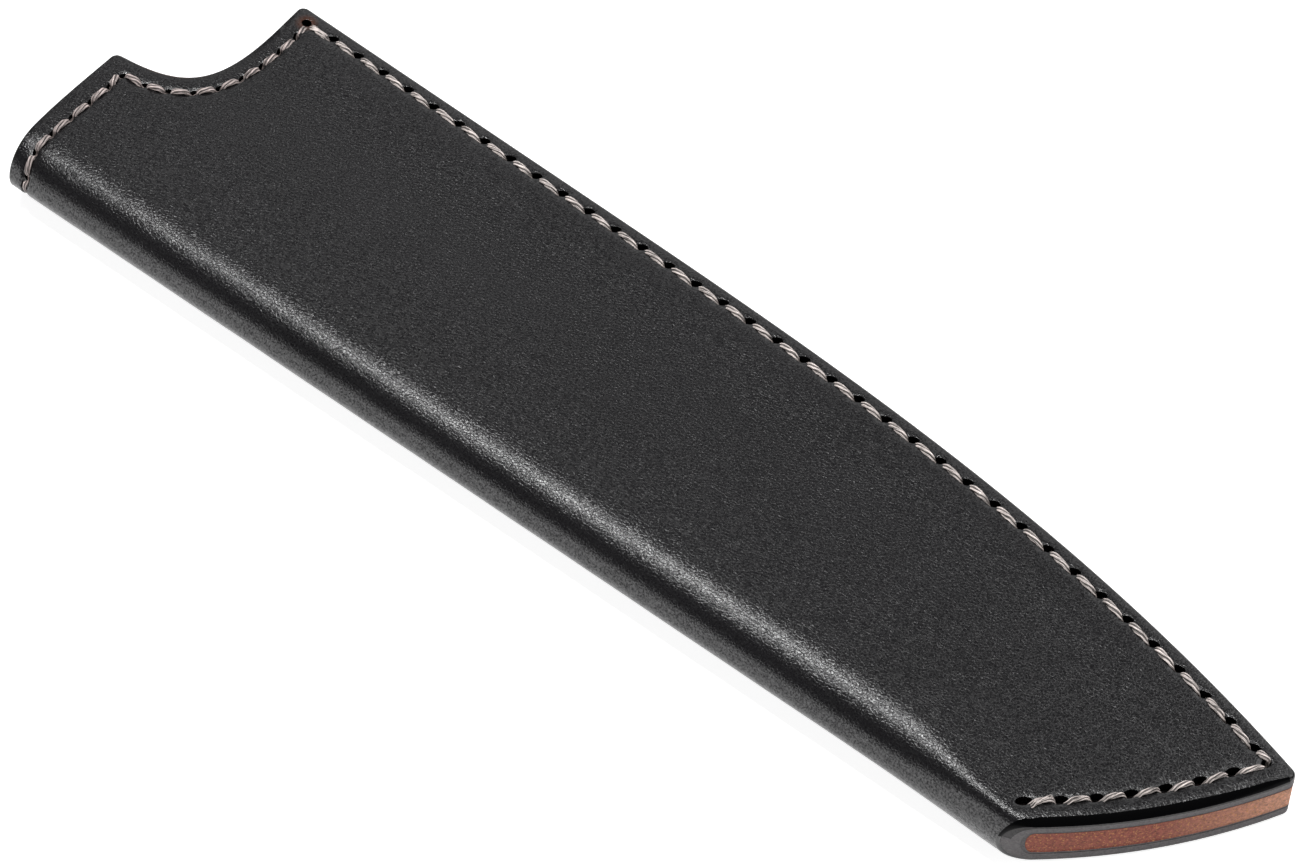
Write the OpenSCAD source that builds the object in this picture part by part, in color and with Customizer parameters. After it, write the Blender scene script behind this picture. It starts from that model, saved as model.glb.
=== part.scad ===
// Stitched leather blade guard for a chef's knife.
// One sheet of leather is folded along the spine side, a thin lining lies against it inside, and a
// welt fills the gap along the cutting edge and the tip. One thread closes the edge and the tip and
// another sews the lining to the cover round the mouth.
// X runs along the fold from the mouth to the tip, Y from the fold to the stitched edge, and Z up
// from the back, which lies flat. Lengths below are counted from the mouth and from the fold.

/* [Overall size] */
// Length from the mouth to the tip corner
guard_len = 202.8; // [198:0.2:230]
// Length of the folded side
fold_len = 177.6; // [172:0.2:182]
// Width at the corner of the finger notch
heel_w = 49.6; // [47:0.1:56]
// Width at the tip corner
tip_w = 30.2; // [28:0.1:33]

/* [Leather] */
// Thickness of the cover leather
cover_t = 1.75; // [1.4:0.05:2.2]
// Thickness of the lining leather
lining_t = 0.4; // [0.3:0.05:0.8]
// Thickness of the welt
welt_t = 3.9; // [3:0.1:4.1]
// Width of the welt along the edge
welt_w = 4.8; // [4.4:0.1:6]
// Width of the welt across the tip
tip_welt_w = 7; // [6:0.1:12]
// Gap for the blade beside the fold
pocket_t = 4.3; // [4.1:0.1:5]
// Bevel round the cut edges of the cover
bevel = 0.8; // [0.4:0.1:1]

/* [Fold] */
// How far the fold takes to curve into the panels
fold_round = 7.5; // [6:0.1:9]
// The same at the tip, where the welt fills the fold
tip_round = 2.8; // [2.6:0.1:4]
// Length over which the fold turns square before the tip
square_run = 22; // [14:1:40]

/* [Mouth and finger notch] */
// Width of the straight part of the mouth
mouth_w = 25.2; // [22:0.1:28]
// Depth of the finger notch
notch_depth = 14.5; // [11:0.1:18]
// Pull of the notch curve along the guard
notch_pull = 13.4; // [10:0.1:15]
// Rise of the notch curve at that pull
notch_rise = 1.1; // [0:0.1:2]
// Bulge of the notch curve past its depth
notch_bulge = 2.3; // [1:0.1:3.5]
// Height of that bulge above the straight mouth
notch_bulge_y = 4.4; // [3:0.1:6]
// How far the rim is set back at the fold
rim_back = 2.4; // [0:0.1:3]
// Width over which that set-back fades
rim_fade = 6.5; // [4:0.1:9]

/* [Stitched edge and tip] */
// Drop of the edge over each 100 mm behind the heel
edge_lean = 3.5; // [1:0.1:5]
// Where the edge begins to curve down
belly_start = 70; // [50:1:100]
// Bow of the tip end
tip_bow = 2.2; // [0.5:0.1:4]
// Radius of the outline's corners
corner_round = 1.2; // [1.1:0.1:2]

/* [Seams] */
// Edge seam to the edge
edge_margin = 2.5; // [2.3:0.1:3]
// Tip seam to the tip end
tip_margin = 3.45; // [3:0.05:4]
// Mouth seam to the straight mouth
mouth_margin = 4.1; // [3.6:0.1:5]
// Mouth seam to the notch
notch_margin = 3.3; // [3:0.1:4]
// Set-back of the mouth seam at the fold
seam_back = 1.8; // [0:0.1:2.5]
// Width over which that set-back fades
seam_fade = 2.5; // [1.5:0.1:4]
// Last tip stitch to the fold
tip_seam_end = 4.6; // [4.2:0.1:7]
// Stitch length along the edge
edge_pitch = 4.98; // [4.2:0.02:6]
// Number of stitches across the tip
tip_stitches = 7; // [5:1:8]
// Stitch length round the mouth
mouth_pitch = 3.92; // [3.4:0.02:4.6]
// Number of stitches along the notch
notch_stitches = 8; // [6:1:9]

/* [Thread] */
// Thickness of the edge thread
edge_thread_d = 0.9; // [0.7:0.05:0.95]
// Thickness of the mouth thread
mouth_thread_d = 0.7; // [0.6:0.05:0.8]
// Depth that the stitches sink into the front
bed_front = 0.35; // [0.2:0.05:0.5]
// Slant of each stitch to its seam line
slant = 0.18; // [0:0.02:0.3]

/* [Hidden] */
// Running clearance round a thread, and the least leather left between two holes
clear = 0.05;
bridge = 0.5;
// Leather and lining together, and the guard's thickness at the fold and at the edge
wall = cover_t + lining_t;
fold_t = 2 * wall + pocket_t;
edge_t = 2 * wall + welt_t;
// How far the cutters and the open sides of the forms run past the outline
skirt = 3;
far_y = heel_w + 3 * skirt;
// Two strands share each hole
edge_hole = 2 * edge_thread_d + 4 * clear;
mouth_hole = 2 * mouth_thread_d + 4 * clear;
// The back stitches lie flush in their beds, and the inner ones sink halfway into the lining
function bed_back(d) = d + 2 * clear;
bed_inner = lining_t / 2;
// How deep a strand turns into its hole before it passes the other one, in thicknesses
dip = 0.5;
// Least curve left in the fold's inner faces
least_reach = 0.4;
// Steps of the curves
corner_steps = 4;
fold_steps = 8;
square_steps = 8;
edge_steps = 30;
tip_steps = 12;
notch_steps = 18;
edge_samples = 80;
notch_samples = 40;
strand_sides = 6;
strand_turn = 45;

// Small helpers
function unit(v) = v / norm(v);
function mix(a, b, t) = a + (b - a) * t;
function limit(t) = max(0, min(1, t));
function smooth(t) = let (u = limit(t)) u * u * (3 - 2 * u);
function left_of(v) = [-v.y, v.x];
function right_of(v) = [v.y, -v.x];
function lift(p, z) = [p.x, p.y, z];
function run_lengths(p) = [
    for (i = 0, s = 0; i < len(p); s = s + (i < len(p) - 1 ? norm(p[i + 1] - p[i]) : 0), i = i + 1) s];
function on_line(p, lengths, s) = [
    for (k = [0:len(p[0]) - 1]) lookup(s, [for (i = [0:len(p) - 1]) [lengths[i], p[i][k]]])];

// Top of the guard: it falls gently from the fold to the stitched edge
function top_z(y) = fold_t - (fold_t - edge_t) * (y - fold_round) / (heel_w - fold_round);

// Plan outline of the guard
function rim_x(y) = rim_back * exp(-max(y, 0) / rim_fade);
function notch_at(t) = let (
    peak = [0, mouth_w],
    run = [notch_pull, mouth_w + notch_rise],
    bulge = [notch_depth + notch_bulge, mouth_w + notch_bulge_y],
    heel = [notch_depth, heel_w])
    pow(1 - t, 3) * peak + 3 * pow(1 - t, 2) * t * run + 3 * (1 - t) * t * t * bulge + pow(t, 3) * heel;
function notch_heading(t) = unit(notch_at(t + 0.01) - notch_at(t - 0.01));
tip_drop = heel_w - tip_w - edge_lean * (guard_len - notch_depth) / 100;
function edge_y(x) = heel_w - edge_lean * (x - notch_depth) / 100
    - tip_drop * pow(max(0, x - belly_start) / (guard_len - belly_start), 3);
function edge_heading(x) = unit([0.2, edge_y(x + 0.1) - edge_y(x - 0.1)]);
tip_corner = [guard_len, tip_w];
fold_end = [fold_len, 0];
tip_out = unit([tip_w, fold_len - guard_len]);
function tip_at(t) = mix(tip_corner, fold_end, t) + tip_out * tip_bow * 4 * t * (1 - t);
function tip_heading(t) = unit(tip_at(t + 0.01) - tip_at(t - 0.01));
function heading(v) = atan2(v.y, v.x);
function round_corner(before, corner, after) = let (
    u = unit(before - corner),
    w = unit(after - corner),
    half = acos(u * w) / 2,
    centre = corner + unit(u + w) * corner_round / sin(half),
    first = heading(u) - 90)
    [for (i = [0:corner_steps]) let (a = first - (180 - 2 * half) * i / corner_steps)
        centre + corner_round * [cos(a), sin(a)]];
corner_run = 2.5 * corner_round;
edge_from = notch_depth + corner_run;
edge_to = guard_len - corner_run;
outline = concat(
    [[rim_x(0), -skirt]],
    [for (t = [0:0.125:0.9]) let (y = mouth_w * t * t) [rim_x(y), y]],
    round_corner([rim_x(mouth_w), mouth_w - corner_run], [rim_x(mouth_w), mouth_w], notch_at(0.1)),
    [for (i = [1:notch_steps]) notch_at(0.03 + 0.91 * i / notch_steps)],
    round_corner(notch_at(0.94), [notch_depth, heel_w], [edge_from, edge_y(edge_from)]),
    [for (i = [0:edge_steps]) let (x = mix(edge_from, edge_to, i / edge_steps)) [x, edge_y(x)]],
    round_corner([edge_to, edge_y(edge_to)], tip_corner, tip_at(0.08)),
    [for (i = [1:tip_steps]) tip_at(i / tip_steps)],
    [[fold_len - skirt / 3, -skirt]]);

// Moves each point of the outline inwards, along the bisector of its two sides
function inset(p, d) = [for (i = [0:len(p) - 1]) let (
    a = unit(p[i] - p[(i + len(p) - 1) % len(p)]),
    b = unit(p[(i + 1) % len(p)] - p[i]),
    bisector = unit(left_of(a) + left_of(b)))
    p[i] - bisector * d / max(0.5, bisector * left_of(a))];

// Block of the outline's shape with both long rims bevelled
module bevelled_block() {
    over = 0.05;
    n = len(outline);
    low = inset(outline, bevel + over);
    points = concat(
        [for (p = low) lift(p, -over)],
        [for (p = outline) lift(p, bevel)],
        [for (p = outline) lift(p, top_z(p.y) - bevel)],
        [for (p = low) lift(p, top_z(p.y) + over)]);
    polyhedron(points, concat(
        [[for (i = [n - 1:-1:0]) i]],
        [for (k = [0:2]) for (i = [0:n - 1]) let (a = k * n + i, b = k * n + (i + 1) % n)
            each [[a, b, b + n], [a, b + n, a + n]]],
        [[for (i = [0:n - 1]) 3 * n + i]]));
}

// Cross-section of the folded sheet, taken a depth below its surface
function round_at(x) = mix(fold_round, tip_round, smooth((x - fold_len + square_run) / square_run));
function section_at(x, depth) = let (reach = max(least_reach, round_at(x) - depth)) concat(
    [[far_y, depth]],
    [for (i = [-fold_steps:fold_steps]) let (a = 90 * i / fold_steps, y = depth + reach * (1 - cos(a)))
        [y, depth + (top_z(y) - 2 * depth) * (1 + sin(a)) / 2]],
    [[far_y, top_z(far_y) - depth]]);

// Solid bounded by the surface a depth below the outer one, open beyond the outline on all sides
module folded_form(depth) {
    stations = concat(
        [-skirt],
        [for (i = [0:square_steps]) fold_len - square_run * (1 - i / square_steps)],
        [guard_len + skirt]);
    sections = [for (x = stations) section_at(x, depth)];
    m = len(sections[0]);
    last = (len(stations) - 1) * m;
    points = [for (i = [0:len(stations) - 1]) for (p = sections[i]) [stations[i], p.x, p.y]];
    polyhedron(points, concat(
        [[for (j = [m - 1:-1:0]) j]],
        [for (i = [0:len(stations) - 2]) for (j = [0:m - 1]) let (a = i * m + j, b = i * m + (j + 1) % m)
            each [[a, b, a + m], [b, b + m, a + m]]],
        [[for (j = [0:m - 1]) last + j]]));
}

// Edge seam: holes at an even pitch from the heel, one more at the tip corner, and the tip seam
function edge_seam_at(x) = [x, edge_y(x)] - left_of(edge_heading(x)) * edge_margin;
function tip_seam_at(t) = tip_at(t) + right_of(tip_heading(t)) * tip_margin;
function tip_gap(p) = let (
    chord = norm(fold_end - tip_corner),
    along = (p - tip_corner) * unit(fold_end - tip_corner) / chord)
    tip_bow * 4 * along * (1 - along) - (p - tip_corner) * tip_out;
corner_search = 12;
corner_x = lookup(tip_margin, [for (x = [guard_len - corner_search:0.5:guard_len])
    [tip_gap(edge_seam_at(x)), x]]);
heel_hole_x = notch_depth + notch_margin;
edge_run = [for (i = [0:edge_samples]) edge_seam_at(mix(heel_hole_x, corner_x, i / edge_samples))];
edge_run_lengths = run_lengths(edge_run);
corner_hole = edge_run[edge_samples];
whole_stitches = floor((edge_run_lengths[edge_samples] - edge_hole - bridge) / edge_pitch);
tip_t_table = [for (t = [-0.1:0.05:1.1]) [tip_seam_at(t).y, t]];
tip_first_t = lookup(corner_hole.y, tip_t_table);
tip_last_t = lookup(tip_seam_end, tip_t_table);
edge_holes = concat(
    [for (i = [0:whole_stitches]) on_line(edge_run, edge_run_lengths, i * edge_pitch)],
    [corner_hole],
    [for (i = [1:tip_stitches]) tip_seam_at(mix(tip_first_t, tip_last_t, i / tip_stitches))]);
edge_last = len(edge_holes) - 1;

// The folded sheet laid out flat: v is counted along the leather from the middle of the fold, and is
// above zero on the front and below zero on the back
fold_line = [for (p = section_at(0, 0)) if (p.x < far_y) p];
inner_line = [for (p = section_at(0, wall)) if (p.x < far_y) p];
fold_lengths = run_lengths(fold_line);
fold_half = fold_lengths[len(fold_line) - 1] / 2;
function v_of(y) = y - fold_round + fold_half;
function skin_yz(v) = abs(v) <= fold_half
    ? on_line(fold_line, fold_lengths, fold_half + v)
    : let (y = fold_round + abs(v) - fold_half) [y, v > 0 ? top_z(y) : 0];
function inner_yz(v) = abs(v) <= fold_half
    ? on_line(inner_line, fold_lengths, fold_half + v)
    : skin_yz(v) - [0, v > 0 ? wall : -wall];
function skin(hole) = let (p = skin_yz(hole[1])) [hole[0], p.x, p.y];
function skin_way(v) = let (d = unit(skin_yz(v) - inner_yz(v))) [0, d.x, d.y];

// Mouth seam along the notch, from clear of the welt to the peak hole
function seam_x(y) = mouth_margin + seam_back * exp(-max(y, 0) / seam_fade);
function notch_seam_at(t) = notch_at(t) - left_of(notch_heading(t)) * notch_margin;
notch_table = [for (t = [0:0.02:1]) notch_seam_at(t)];
peak_t = lookup(seam_x(mouth_w), [for (i = [0:25]) [notch_table[i].x, i * 0.02]]);
first_y = edge_y(notch_depth) - welt_w - mouth_hole / 2 - clear;
first_t = lookup(first_y, [for (i = [30:50]) [notch_table[i].y, i * 0.02]]);
notch_run = [for (i = [0:notch_samples]) notch_seam_at(mix(first_t, peak_t, i / notch_samples))];
notch_run_lengths = run_lengths(notch_run);
notch_holes = [for (i = [0:notch_stitches])
    on_line(notch_run, notch_run_lengths, notch_run_lengths[notch_samples] * i / notch_stitches)];

// The whole mouth seam as [x, v] of each hole: the heel hole, which the edge seam shares, then down
// the front of the notch, along the straight mouth, round the fold and up the back
peak_v = v_of(notch_holes[notch_stitches].y);
straight_holes = floor((peak_v - mouth_hole - bridge) / mouth_pitch + 0.5);
mouth_holes = concat(
    [[edge_holes[0].x, v_of(edge_holes[0].y)]],
    [for (p = notch_holes) [p.x, v_of(p.y)]],
    [for (i = [straight_holes - 1:-1:-straight_holes]) let (v = (i + 0.5) * mouth_pitch)
        [seam_x(skin_yz(v).x), v]],
    [for (i = [notch_stitches:-1:0]) [notch_holes[i].x, -v_of(notch_holes[i].y)]]);
mouth_last = len(mouth_holes) - 1;

// Depth of the mouth's stitch bed: shallow on the front, flush on the back, between them on the fold
function bed_depth(way) = mix(bed_back(mouth_thread_d), bed_front, (1 + way.z) / 2);

// A round tube of few sides along a line of points
function turned(frame, along) = unit(frame - along * (frame * along));
module tube(line, d) {
    n = len(line);
    ways = [for (i = [0:n - 1]) unit(line[min(i + 1, n - 1)] - line[max(i - 1, 0)])];
    start = abs(ways[0].z) > 0.9 ? [1, 0, 0] : [0, 0, 1];
    frames = [for (i = 0, f = turned(start, ways[0]); i < n;
        f = i < n - 1 ? turned(f, ways[i + 1]) : f, i = i + 1) f];
    points = [for (i = [0:n - 1]) for (k = [0:strand_sides - 1]) let (a = 360 * k / strand_sides)
        line[i] + (frames[i] * cos(a) + cross(ways[i], frames[i]) * sin(a)) * d / 2];
    polyhedron(points, concat(
        [[for (k = [0:strand_sides - 1]) k]],
        [for (i = [0:n - 2]) for (k = [0:strand_sides - 1])
            let (a = i * strand_sides + k, b = i * strand_sides + (k + 1) % strand_sides)
            each [[a, b + strand_sides, b], [a, a + strand_sides, b + strand_sides]]],
        [[for (k = [strand_sides - 1:-1:0]) (n - 1) * strand_sides + k]]));
}

// A stop is a hole's mouth on one face: its point, the way out of the face there, and how far the
// middle of a stitch lies above the face. A strand in a hole keeps beside_hole from its middle
function beside_hole(d) = d / 2 + clear;

// Where a stitch starts on the face: just beside its hole, slanted a little to the seam
function stitch_end(a, b, d) = let (along = unit(b[0] - a[0]))
    a[0] + along * (beside_hole(d) + d / 4) + unit(cross(along, a[1])) * slant + a[1] * a[2];

// Where a strand stands in its hole, just under the face
function in_hole(stop, along, d) = stop[0] + stop[1] * (stop[2] - dip * d) + along * beside_hole(d);

// A strand goes into a hole at one face and out at the other, half a turn round the second strand
function pass_through(a, b, along, d) = let (
    r = beside_hole(d),
    from = in_hole(a, -along, d) + along * r,
    to = in_hole(b, along, d) - along * r)
    [for (turn = [0:strand_turn:180])
        mix(from, to, turn / 180) - along * r * cos(turn) + cross(a[1], along) * r * sin(turn)];

// Edge thread: one strand leaves the heel on the front, the other on the back, and they change faces
// at every hole
function edge_front(i) = [lift(edge_holes[i], top_z(edge_holes[i].y)), [0, 0, 1],
    beside_hole(edge_thread_d) - bed_front];
function edge_back(i) = [lift(edge_holes[i], 0), [0, 0, -1],
    beside_hole(edge_thread_d) - bed_back(edge_thread_d)];
function edge_stop(i, on_front) = on_front ? edge_front(i) : edge_back(i);
function edge_along(i) = let (
    here = edge_holes[min(i + 1, edge_last)] - edge_holes[max(i - 1, 0)])
    unit(lift(here, 0));
function on_front(i, first) = (i % 2 == 0) == first;
function edge_stitch(i, front) = let (a = edge_stop(i, front), b = edge_stop(i + 1, front))
    [stitch_end(a, b, edge_thread_d), stitch_end(b, a, edge_thread_d)];
function edge_pass(i, front) =
    pass_through(edge_stop(i, front), edge_stop(i, !front), edge_along(i), edge_thread_d);
function edge_tail(front) = in_hole(edge_stop(edge_last, front), -edge_along(edge_last), edge_thread_d);
function edge_strand(first) = [
    for (i = [0:edge_last - 1]) let (front = on_front(i, first)) each concat(
        edge_stitch(i, front),
        i < edge_last - 1 ? edge_pass(i + 1, front) : [edge_tail(front)])];
function reversed(p) = [for (i = [len(p) - 1:-1:0]) p[i]];
edge_line = concat(
    reversed(edge_strand(true)),
    [for (front = [true, false]) in_hole(edge_stop(0, front), edge_along(0), edge_thread_d)],
    edge_strand(false));

// Mouth thread: outer stitches on the cover follow its curve, and inner ones run straight over the
// lining. The strands meet in the last hole, and the first one ends in the heel hole
function mouth_outer(hole) = let (way = skin_way(hole[1]))
    [skin(hole), way, beside_hole(mouth_thread_d) - bed_depth(way)];
function mouth_inner(hole) = let (way = skin_way(hole[1]))
    [skin(hole) - way * wall, -way, beside_hole(mouth_thread_d) - bed_inner];
function mouth_stop(i, out) = out ? mouth_outer(mouth_holes[i]) : mouth_inner(mouth_holes[i]);
function mouth_along(i) = let (
    way = skin_way(mouth_holes[i][1]),
    here = skin(mouth_holes[min(i + 1, mouth_last)]) - skin(mouth_holes[i - 1]))
    unit(turned(here, way));
function mouth_middle(i) = [for (t = [0.25, 0.5, 0.75]) let (
    stop = mouth_outer(mix(mouth_holes[i], mouth_holes[i + 1], t)))
    stop[0] + stop[1] * stop[2]];
function mouth_stitch(i, out) = let (a = mouth_stop(i, out), b = mouth_stop(i + 1, out)) concat(
    [stitch_end(a, b, mouth_thread_d)],
    out ? mouth_middle(i) : [],
    [stitch_end(b, a, mouth_thread_d)]);
function mouth_pass(i, out) =
    pass_through(mouth_stop(i, out), mouth_stop(i, !out), mouth_along(i), mouth_thread_d);
function mouth_strand(first) = [
    for (i = [first ? 0 : 1:mouth_last - 1]) let (out = on_front(i, first))
        each concat(mouth_stitch(i, out), i < mouth_last - 1 ? mouth_pass(i + 1, out) : [])];
last_out = on_front(mouth_last - 1, true);
mouth_line = concat(
    [in_hole(mouth_stop(0, true), -edge_along(0), mouth_thread_d)],
    mouth_strand(true),
    [for (out = [last_out, !last_out])
        in_hole(mouth_stop(mouth_last, out), -mouth_along(mouth_last), mouth_thread_d)],
    reversed(mouth_strand(false)),
    [in_hole(mouth_stop(1, true), mouth_along(1), mouth_thread_d)]);

// Cutters shared by the leathers
module at_hole(hole) {
    way = skin_way(hole[1]);
    translate(skin(hole)) rotate([atan2(-way.y, way.z), 0, 0]) children();
}
module edge_bores() {
    for (p = edge_holes) {
        translate([p.x, p.y, -1]) cylinder(d = edge_hole, h = fold_t + 2, $fn = 24);
    }
}
module mouth_bores() {
    for (i = [1:mouth_last]) {
        at_hole(mouth_holes[i]) translate([0, 0, -wall - 1])
            cylinder(d = mouth_hole, h = wall + 2, $fn = 24);
    }
}
// Strip of the plan along a seam
module seam_strip(line, width) {
    n = len(line);
    ways = [for (i = [1:n - 1]) unit(line[i] - line[i - 1])];
    sides = [for (i = [0:n - 1]) let (
        before = left_of(ways[max(i - 1, 0)]),
        after = left_of(ways[min(i, n - 2)]),
        side = unit(before + after))
        side * width / 2 / (side * before)];
    translate([0, 0, -1]) linear_extrude(fold_t + 2) polygon(concat(
        [for (i = [0:n - 1]) line[i] + sides[i]],
        [for (i = [n - 1:-1:0]) line[i] - sides[i]]));
}
mouth_plan = concat([edge_holes[0]], notch_run,
    [for (i = [2 * fold_steps:-1:-1]) let (y = fold_round * i / fold_steps) [seam_x(y), y]]);
module mouth_strip() {
    seam_strip(mouth_plan, mouth_thread_d + 2 * slant + 2 * clear);
}
// Groove along a strip that the stitches of thickness d lie in
module stitch_bed(d) {
    lift = (bed_back(d) - bed_front) / 2;
    difference() {
        children();
        translate([0, 0, lift]) folded_form(bed_front + lift);
    }
}
module outline_column() {
    translate([0, 0, -1]) linear_extrude(fold_t + 2) polygon(outline);
}

// The frame's origin is the middle of the guard's box, on the face it lies on
rim_xs = [for (p = outline) p.x];
middle = [(min(rim_xs) + max(rim_xs)) / 2, max([for (p = outline) p.y]) / 2];
module in_frame() {
    translate([-middle.x, -middle.y, 0]) children();
}

// The folded outer sheet
module cover() {
    color("#2b2a2c") in_frame() difference() {
        intersection() {
            folded_form(0);
            bevelled_block();
        }
        folded_form(cover_t);
        edge_bores();
        mouth_bores();
        stitch_bed(mouth_thread_d) mouth_strip();
        stitch_bed(edge_thread_d) seam_strip(edge_holes, edge_thread_d + 2 * slant + 2 * clear);
    }
}

// The thin sheet against the inside of the cover
module lining() {
    color("#6e4a38") in_frame() difference() {
        intersection() {
            folded_form(cover_t);
            outline_column();
        }
        folded_form(wall);
        edge_bores();
        mouth_bores();
        intersection() {
            mouth_strip();
            folded_form(wall - bed_inner);
        }
    }
}

// The strip between the two sides along the edge and the tip
module welt() {
    color("#8c4f38") in_frame() difference() {
        intersection() {
            folded_form(wall);
            outline_column();
        }
        translate([0, 0, -1]) linear_extrude(fold_t + 2) intersection() {
            polygon(concat(
                [[-skirt, -skirt], [-skirt, edge_y(0) - welt_w]],
                [for (i = [0:edge_steps]) let (x = mix(0, guard_len, i / edge_steps))
                    [x, edge_y(x)] - left_of(edge_heading(x)) * welt_w],
                [[guard_len, -skirt]]));
            polygon(concat(
                [[-skirt, far_y]],
                [for (i = [-2:tip_steps + 2]) let (t = i / tip_steps)
                    tip_at(t) + right_of(tip_heading(t)) * tip_welt_w],
                [[-skirt, -2 * skirt]]));
        }
        edge_bores();
    }
}

// The saddle-stitched thread along the edge and the tip
module edge_thread() {
    color("#a39c93") in_frame() tube(edge_line, edge_thread_d);
}

// The thread round the mouth
module mouth_thread() {
    color("#a39c93") in_frame() tube(mouth_line, mouth_thread_d);
}

cover();
lining();
welt();
edge_thread();
mouth_thread();
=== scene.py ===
"""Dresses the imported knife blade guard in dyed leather, a brown welt and waxed thread."""

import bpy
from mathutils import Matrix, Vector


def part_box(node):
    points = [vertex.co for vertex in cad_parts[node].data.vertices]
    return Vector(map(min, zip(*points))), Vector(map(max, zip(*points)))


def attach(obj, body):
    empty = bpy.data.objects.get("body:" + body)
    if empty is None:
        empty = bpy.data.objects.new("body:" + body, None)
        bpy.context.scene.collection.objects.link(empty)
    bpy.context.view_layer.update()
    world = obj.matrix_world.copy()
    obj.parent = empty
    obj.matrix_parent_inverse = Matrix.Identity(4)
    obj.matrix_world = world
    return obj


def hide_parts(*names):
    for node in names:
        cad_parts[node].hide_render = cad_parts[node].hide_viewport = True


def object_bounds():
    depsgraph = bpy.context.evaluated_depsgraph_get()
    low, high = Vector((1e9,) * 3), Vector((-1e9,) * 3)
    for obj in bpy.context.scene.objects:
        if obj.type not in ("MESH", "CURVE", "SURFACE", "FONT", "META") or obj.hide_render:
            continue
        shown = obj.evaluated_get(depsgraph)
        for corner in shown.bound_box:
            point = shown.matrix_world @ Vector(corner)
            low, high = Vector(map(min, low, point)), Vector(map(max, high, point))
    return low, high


bl_info = {
    "name": "Knife blade guard",
    "version": (1, 0, 0),
    "blender": (4, 5, 0),
    "location": "View3D > Sidebar > Blade guard",
    "description": "Folded leather guard for a chef's knife, saddle stitched along the edge and the mouth",
    "category": "Object",
}

import math

import bmesh
import bpy
import numpy as np
from bpy.props import FloatProperty, FloatVectorProperty, IntProperty, PointerProperty
from mathutils import Matrix, Vector, geometry, kdtree, noise

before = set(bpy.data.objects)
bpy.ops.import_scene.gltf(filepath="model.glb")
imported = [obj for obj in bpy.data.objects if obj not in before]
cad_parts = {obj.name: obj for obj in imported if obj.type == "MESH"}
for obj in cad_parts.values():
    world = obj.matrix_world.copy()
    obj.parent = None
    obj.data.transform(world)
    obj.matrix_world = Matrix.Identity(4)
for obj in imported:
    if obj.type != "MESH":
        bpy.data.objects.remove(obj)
CAD_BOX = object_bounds()
BODY = "root"
MM = 0.001


def linear(colour):
    """Linear RGB of an sRGB hex colour such as #2b292c."""
    values = [int(colour[i:i + 2], 16) / 255 for i in (1, 3, 5)]
    return tuple(v / 12.92 if v <= 0.04045 else ((v + 0.055) / 1.055) ** 2.4 for v in values)


def length(name, description, millimetres):
    """A property for a real length."""
    return FloatProperty(
        name=name, description=description, default=millimetres * MM, min=0, precision=5, unit="LENGTH")


def colour(name, description, srgb):
    """A property for a colour, given as it looks."""
    return FloatVectorProperty(
        name=name, description=description, default=linear(srgb), min=0, max=1, subtype="COLOR")


class GuardSizes(bpy.types.PropertyGroup):
    """Sizes of the folded leather, counted from the mouth and from the fold."""

    guard_len: length("Length", "From the mouth to the tip corner", 202.8)
    fold_len: length("Folded side", "Length of the folded side", 177.6)
    heel_w: length("Heel width", "Width at the corner of the finger notch", 49.6)
    tip_w: length("Tip width", "Width at the tip corner", 30.2)
    cover_t: length("Cover leather", "Thickness of the cover leather", 1.75)
    lining_t: length("Lining leather", "Thickness of the lining leather", 0.4)
    welt_t: length("Welt", "Thickness of the welt", 3.9)
    welt_w: length("Welt width", "Width of the welt along the edge", 4.8)
    tip_welt_w: length("Welt width at the tip", "Width of the welt across the tip", 7)
    pocket_t: length("Pocket", "Gap for the blade beside the fold", 4.3)
    fold_round: length("Fold", "How far the fold takes to curve into the panels", 7.5)
    tip_round: length("Fold at the tip", "The same at the tip, where the welt fills the fold", 2.8)
    square_run: length("Square run", "Length over which the fold turns square before the tip", 22)
    mouth_w: length("Straight mouth", "Width of the straight part of the mouth", 25.2)
    notch_depth: length("Notch depth", "Depth of the finger notch", 14.5)
    notch_pull: length("Notch pull", "Pull of the notch curve along the guard", 13.4)
    notch_rise: length("Notch rise", "Rise of the notch curve at that pull", 1.1)
    notch_bulge: length("Notch bulge", "Bulge of the notch curve past its depth", 2.3)
    notch_bulge_y: length("Bulge height", "Height of that bulge above the straight mouth", 4.4)
    rim_back: length("Rim set-back", "How far the rim is set back at the fold", 2.4)
    rim_fade: length("Rim fade", "Width over which that set-back fades", 6.5)
    edge_lean: FloatProperty(
        name="Edge lean", description="Fall of the edge behind the heel, as a slope", default=0.035)
    belly_start: length("Belly start", "Where the edge begins to curve down", 70)
    tip_bow: length("Tip bow", "Bow of the tip end", 2.2)
    corner_round: length("Corners", "Radius of the outline's corners", 1.2)
    edge_round: length("Edge rounding", "Rounding of the burnished arris", 0.42)
    edge_swell: FloatProperty(
        name="Edge swelling", description="Swelling of the front beside the pressed long edge, as a share "
        "of how far it lies below the front beside the fold", default=1.55)
    tip_run: length("Tip bevel's width", "Width of the burnished bevel across the tip", 1.2)
    tip_drop: length("Tip bevel's drop", "How far down the cut edge that bevel reaches", 0.6)


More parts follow.
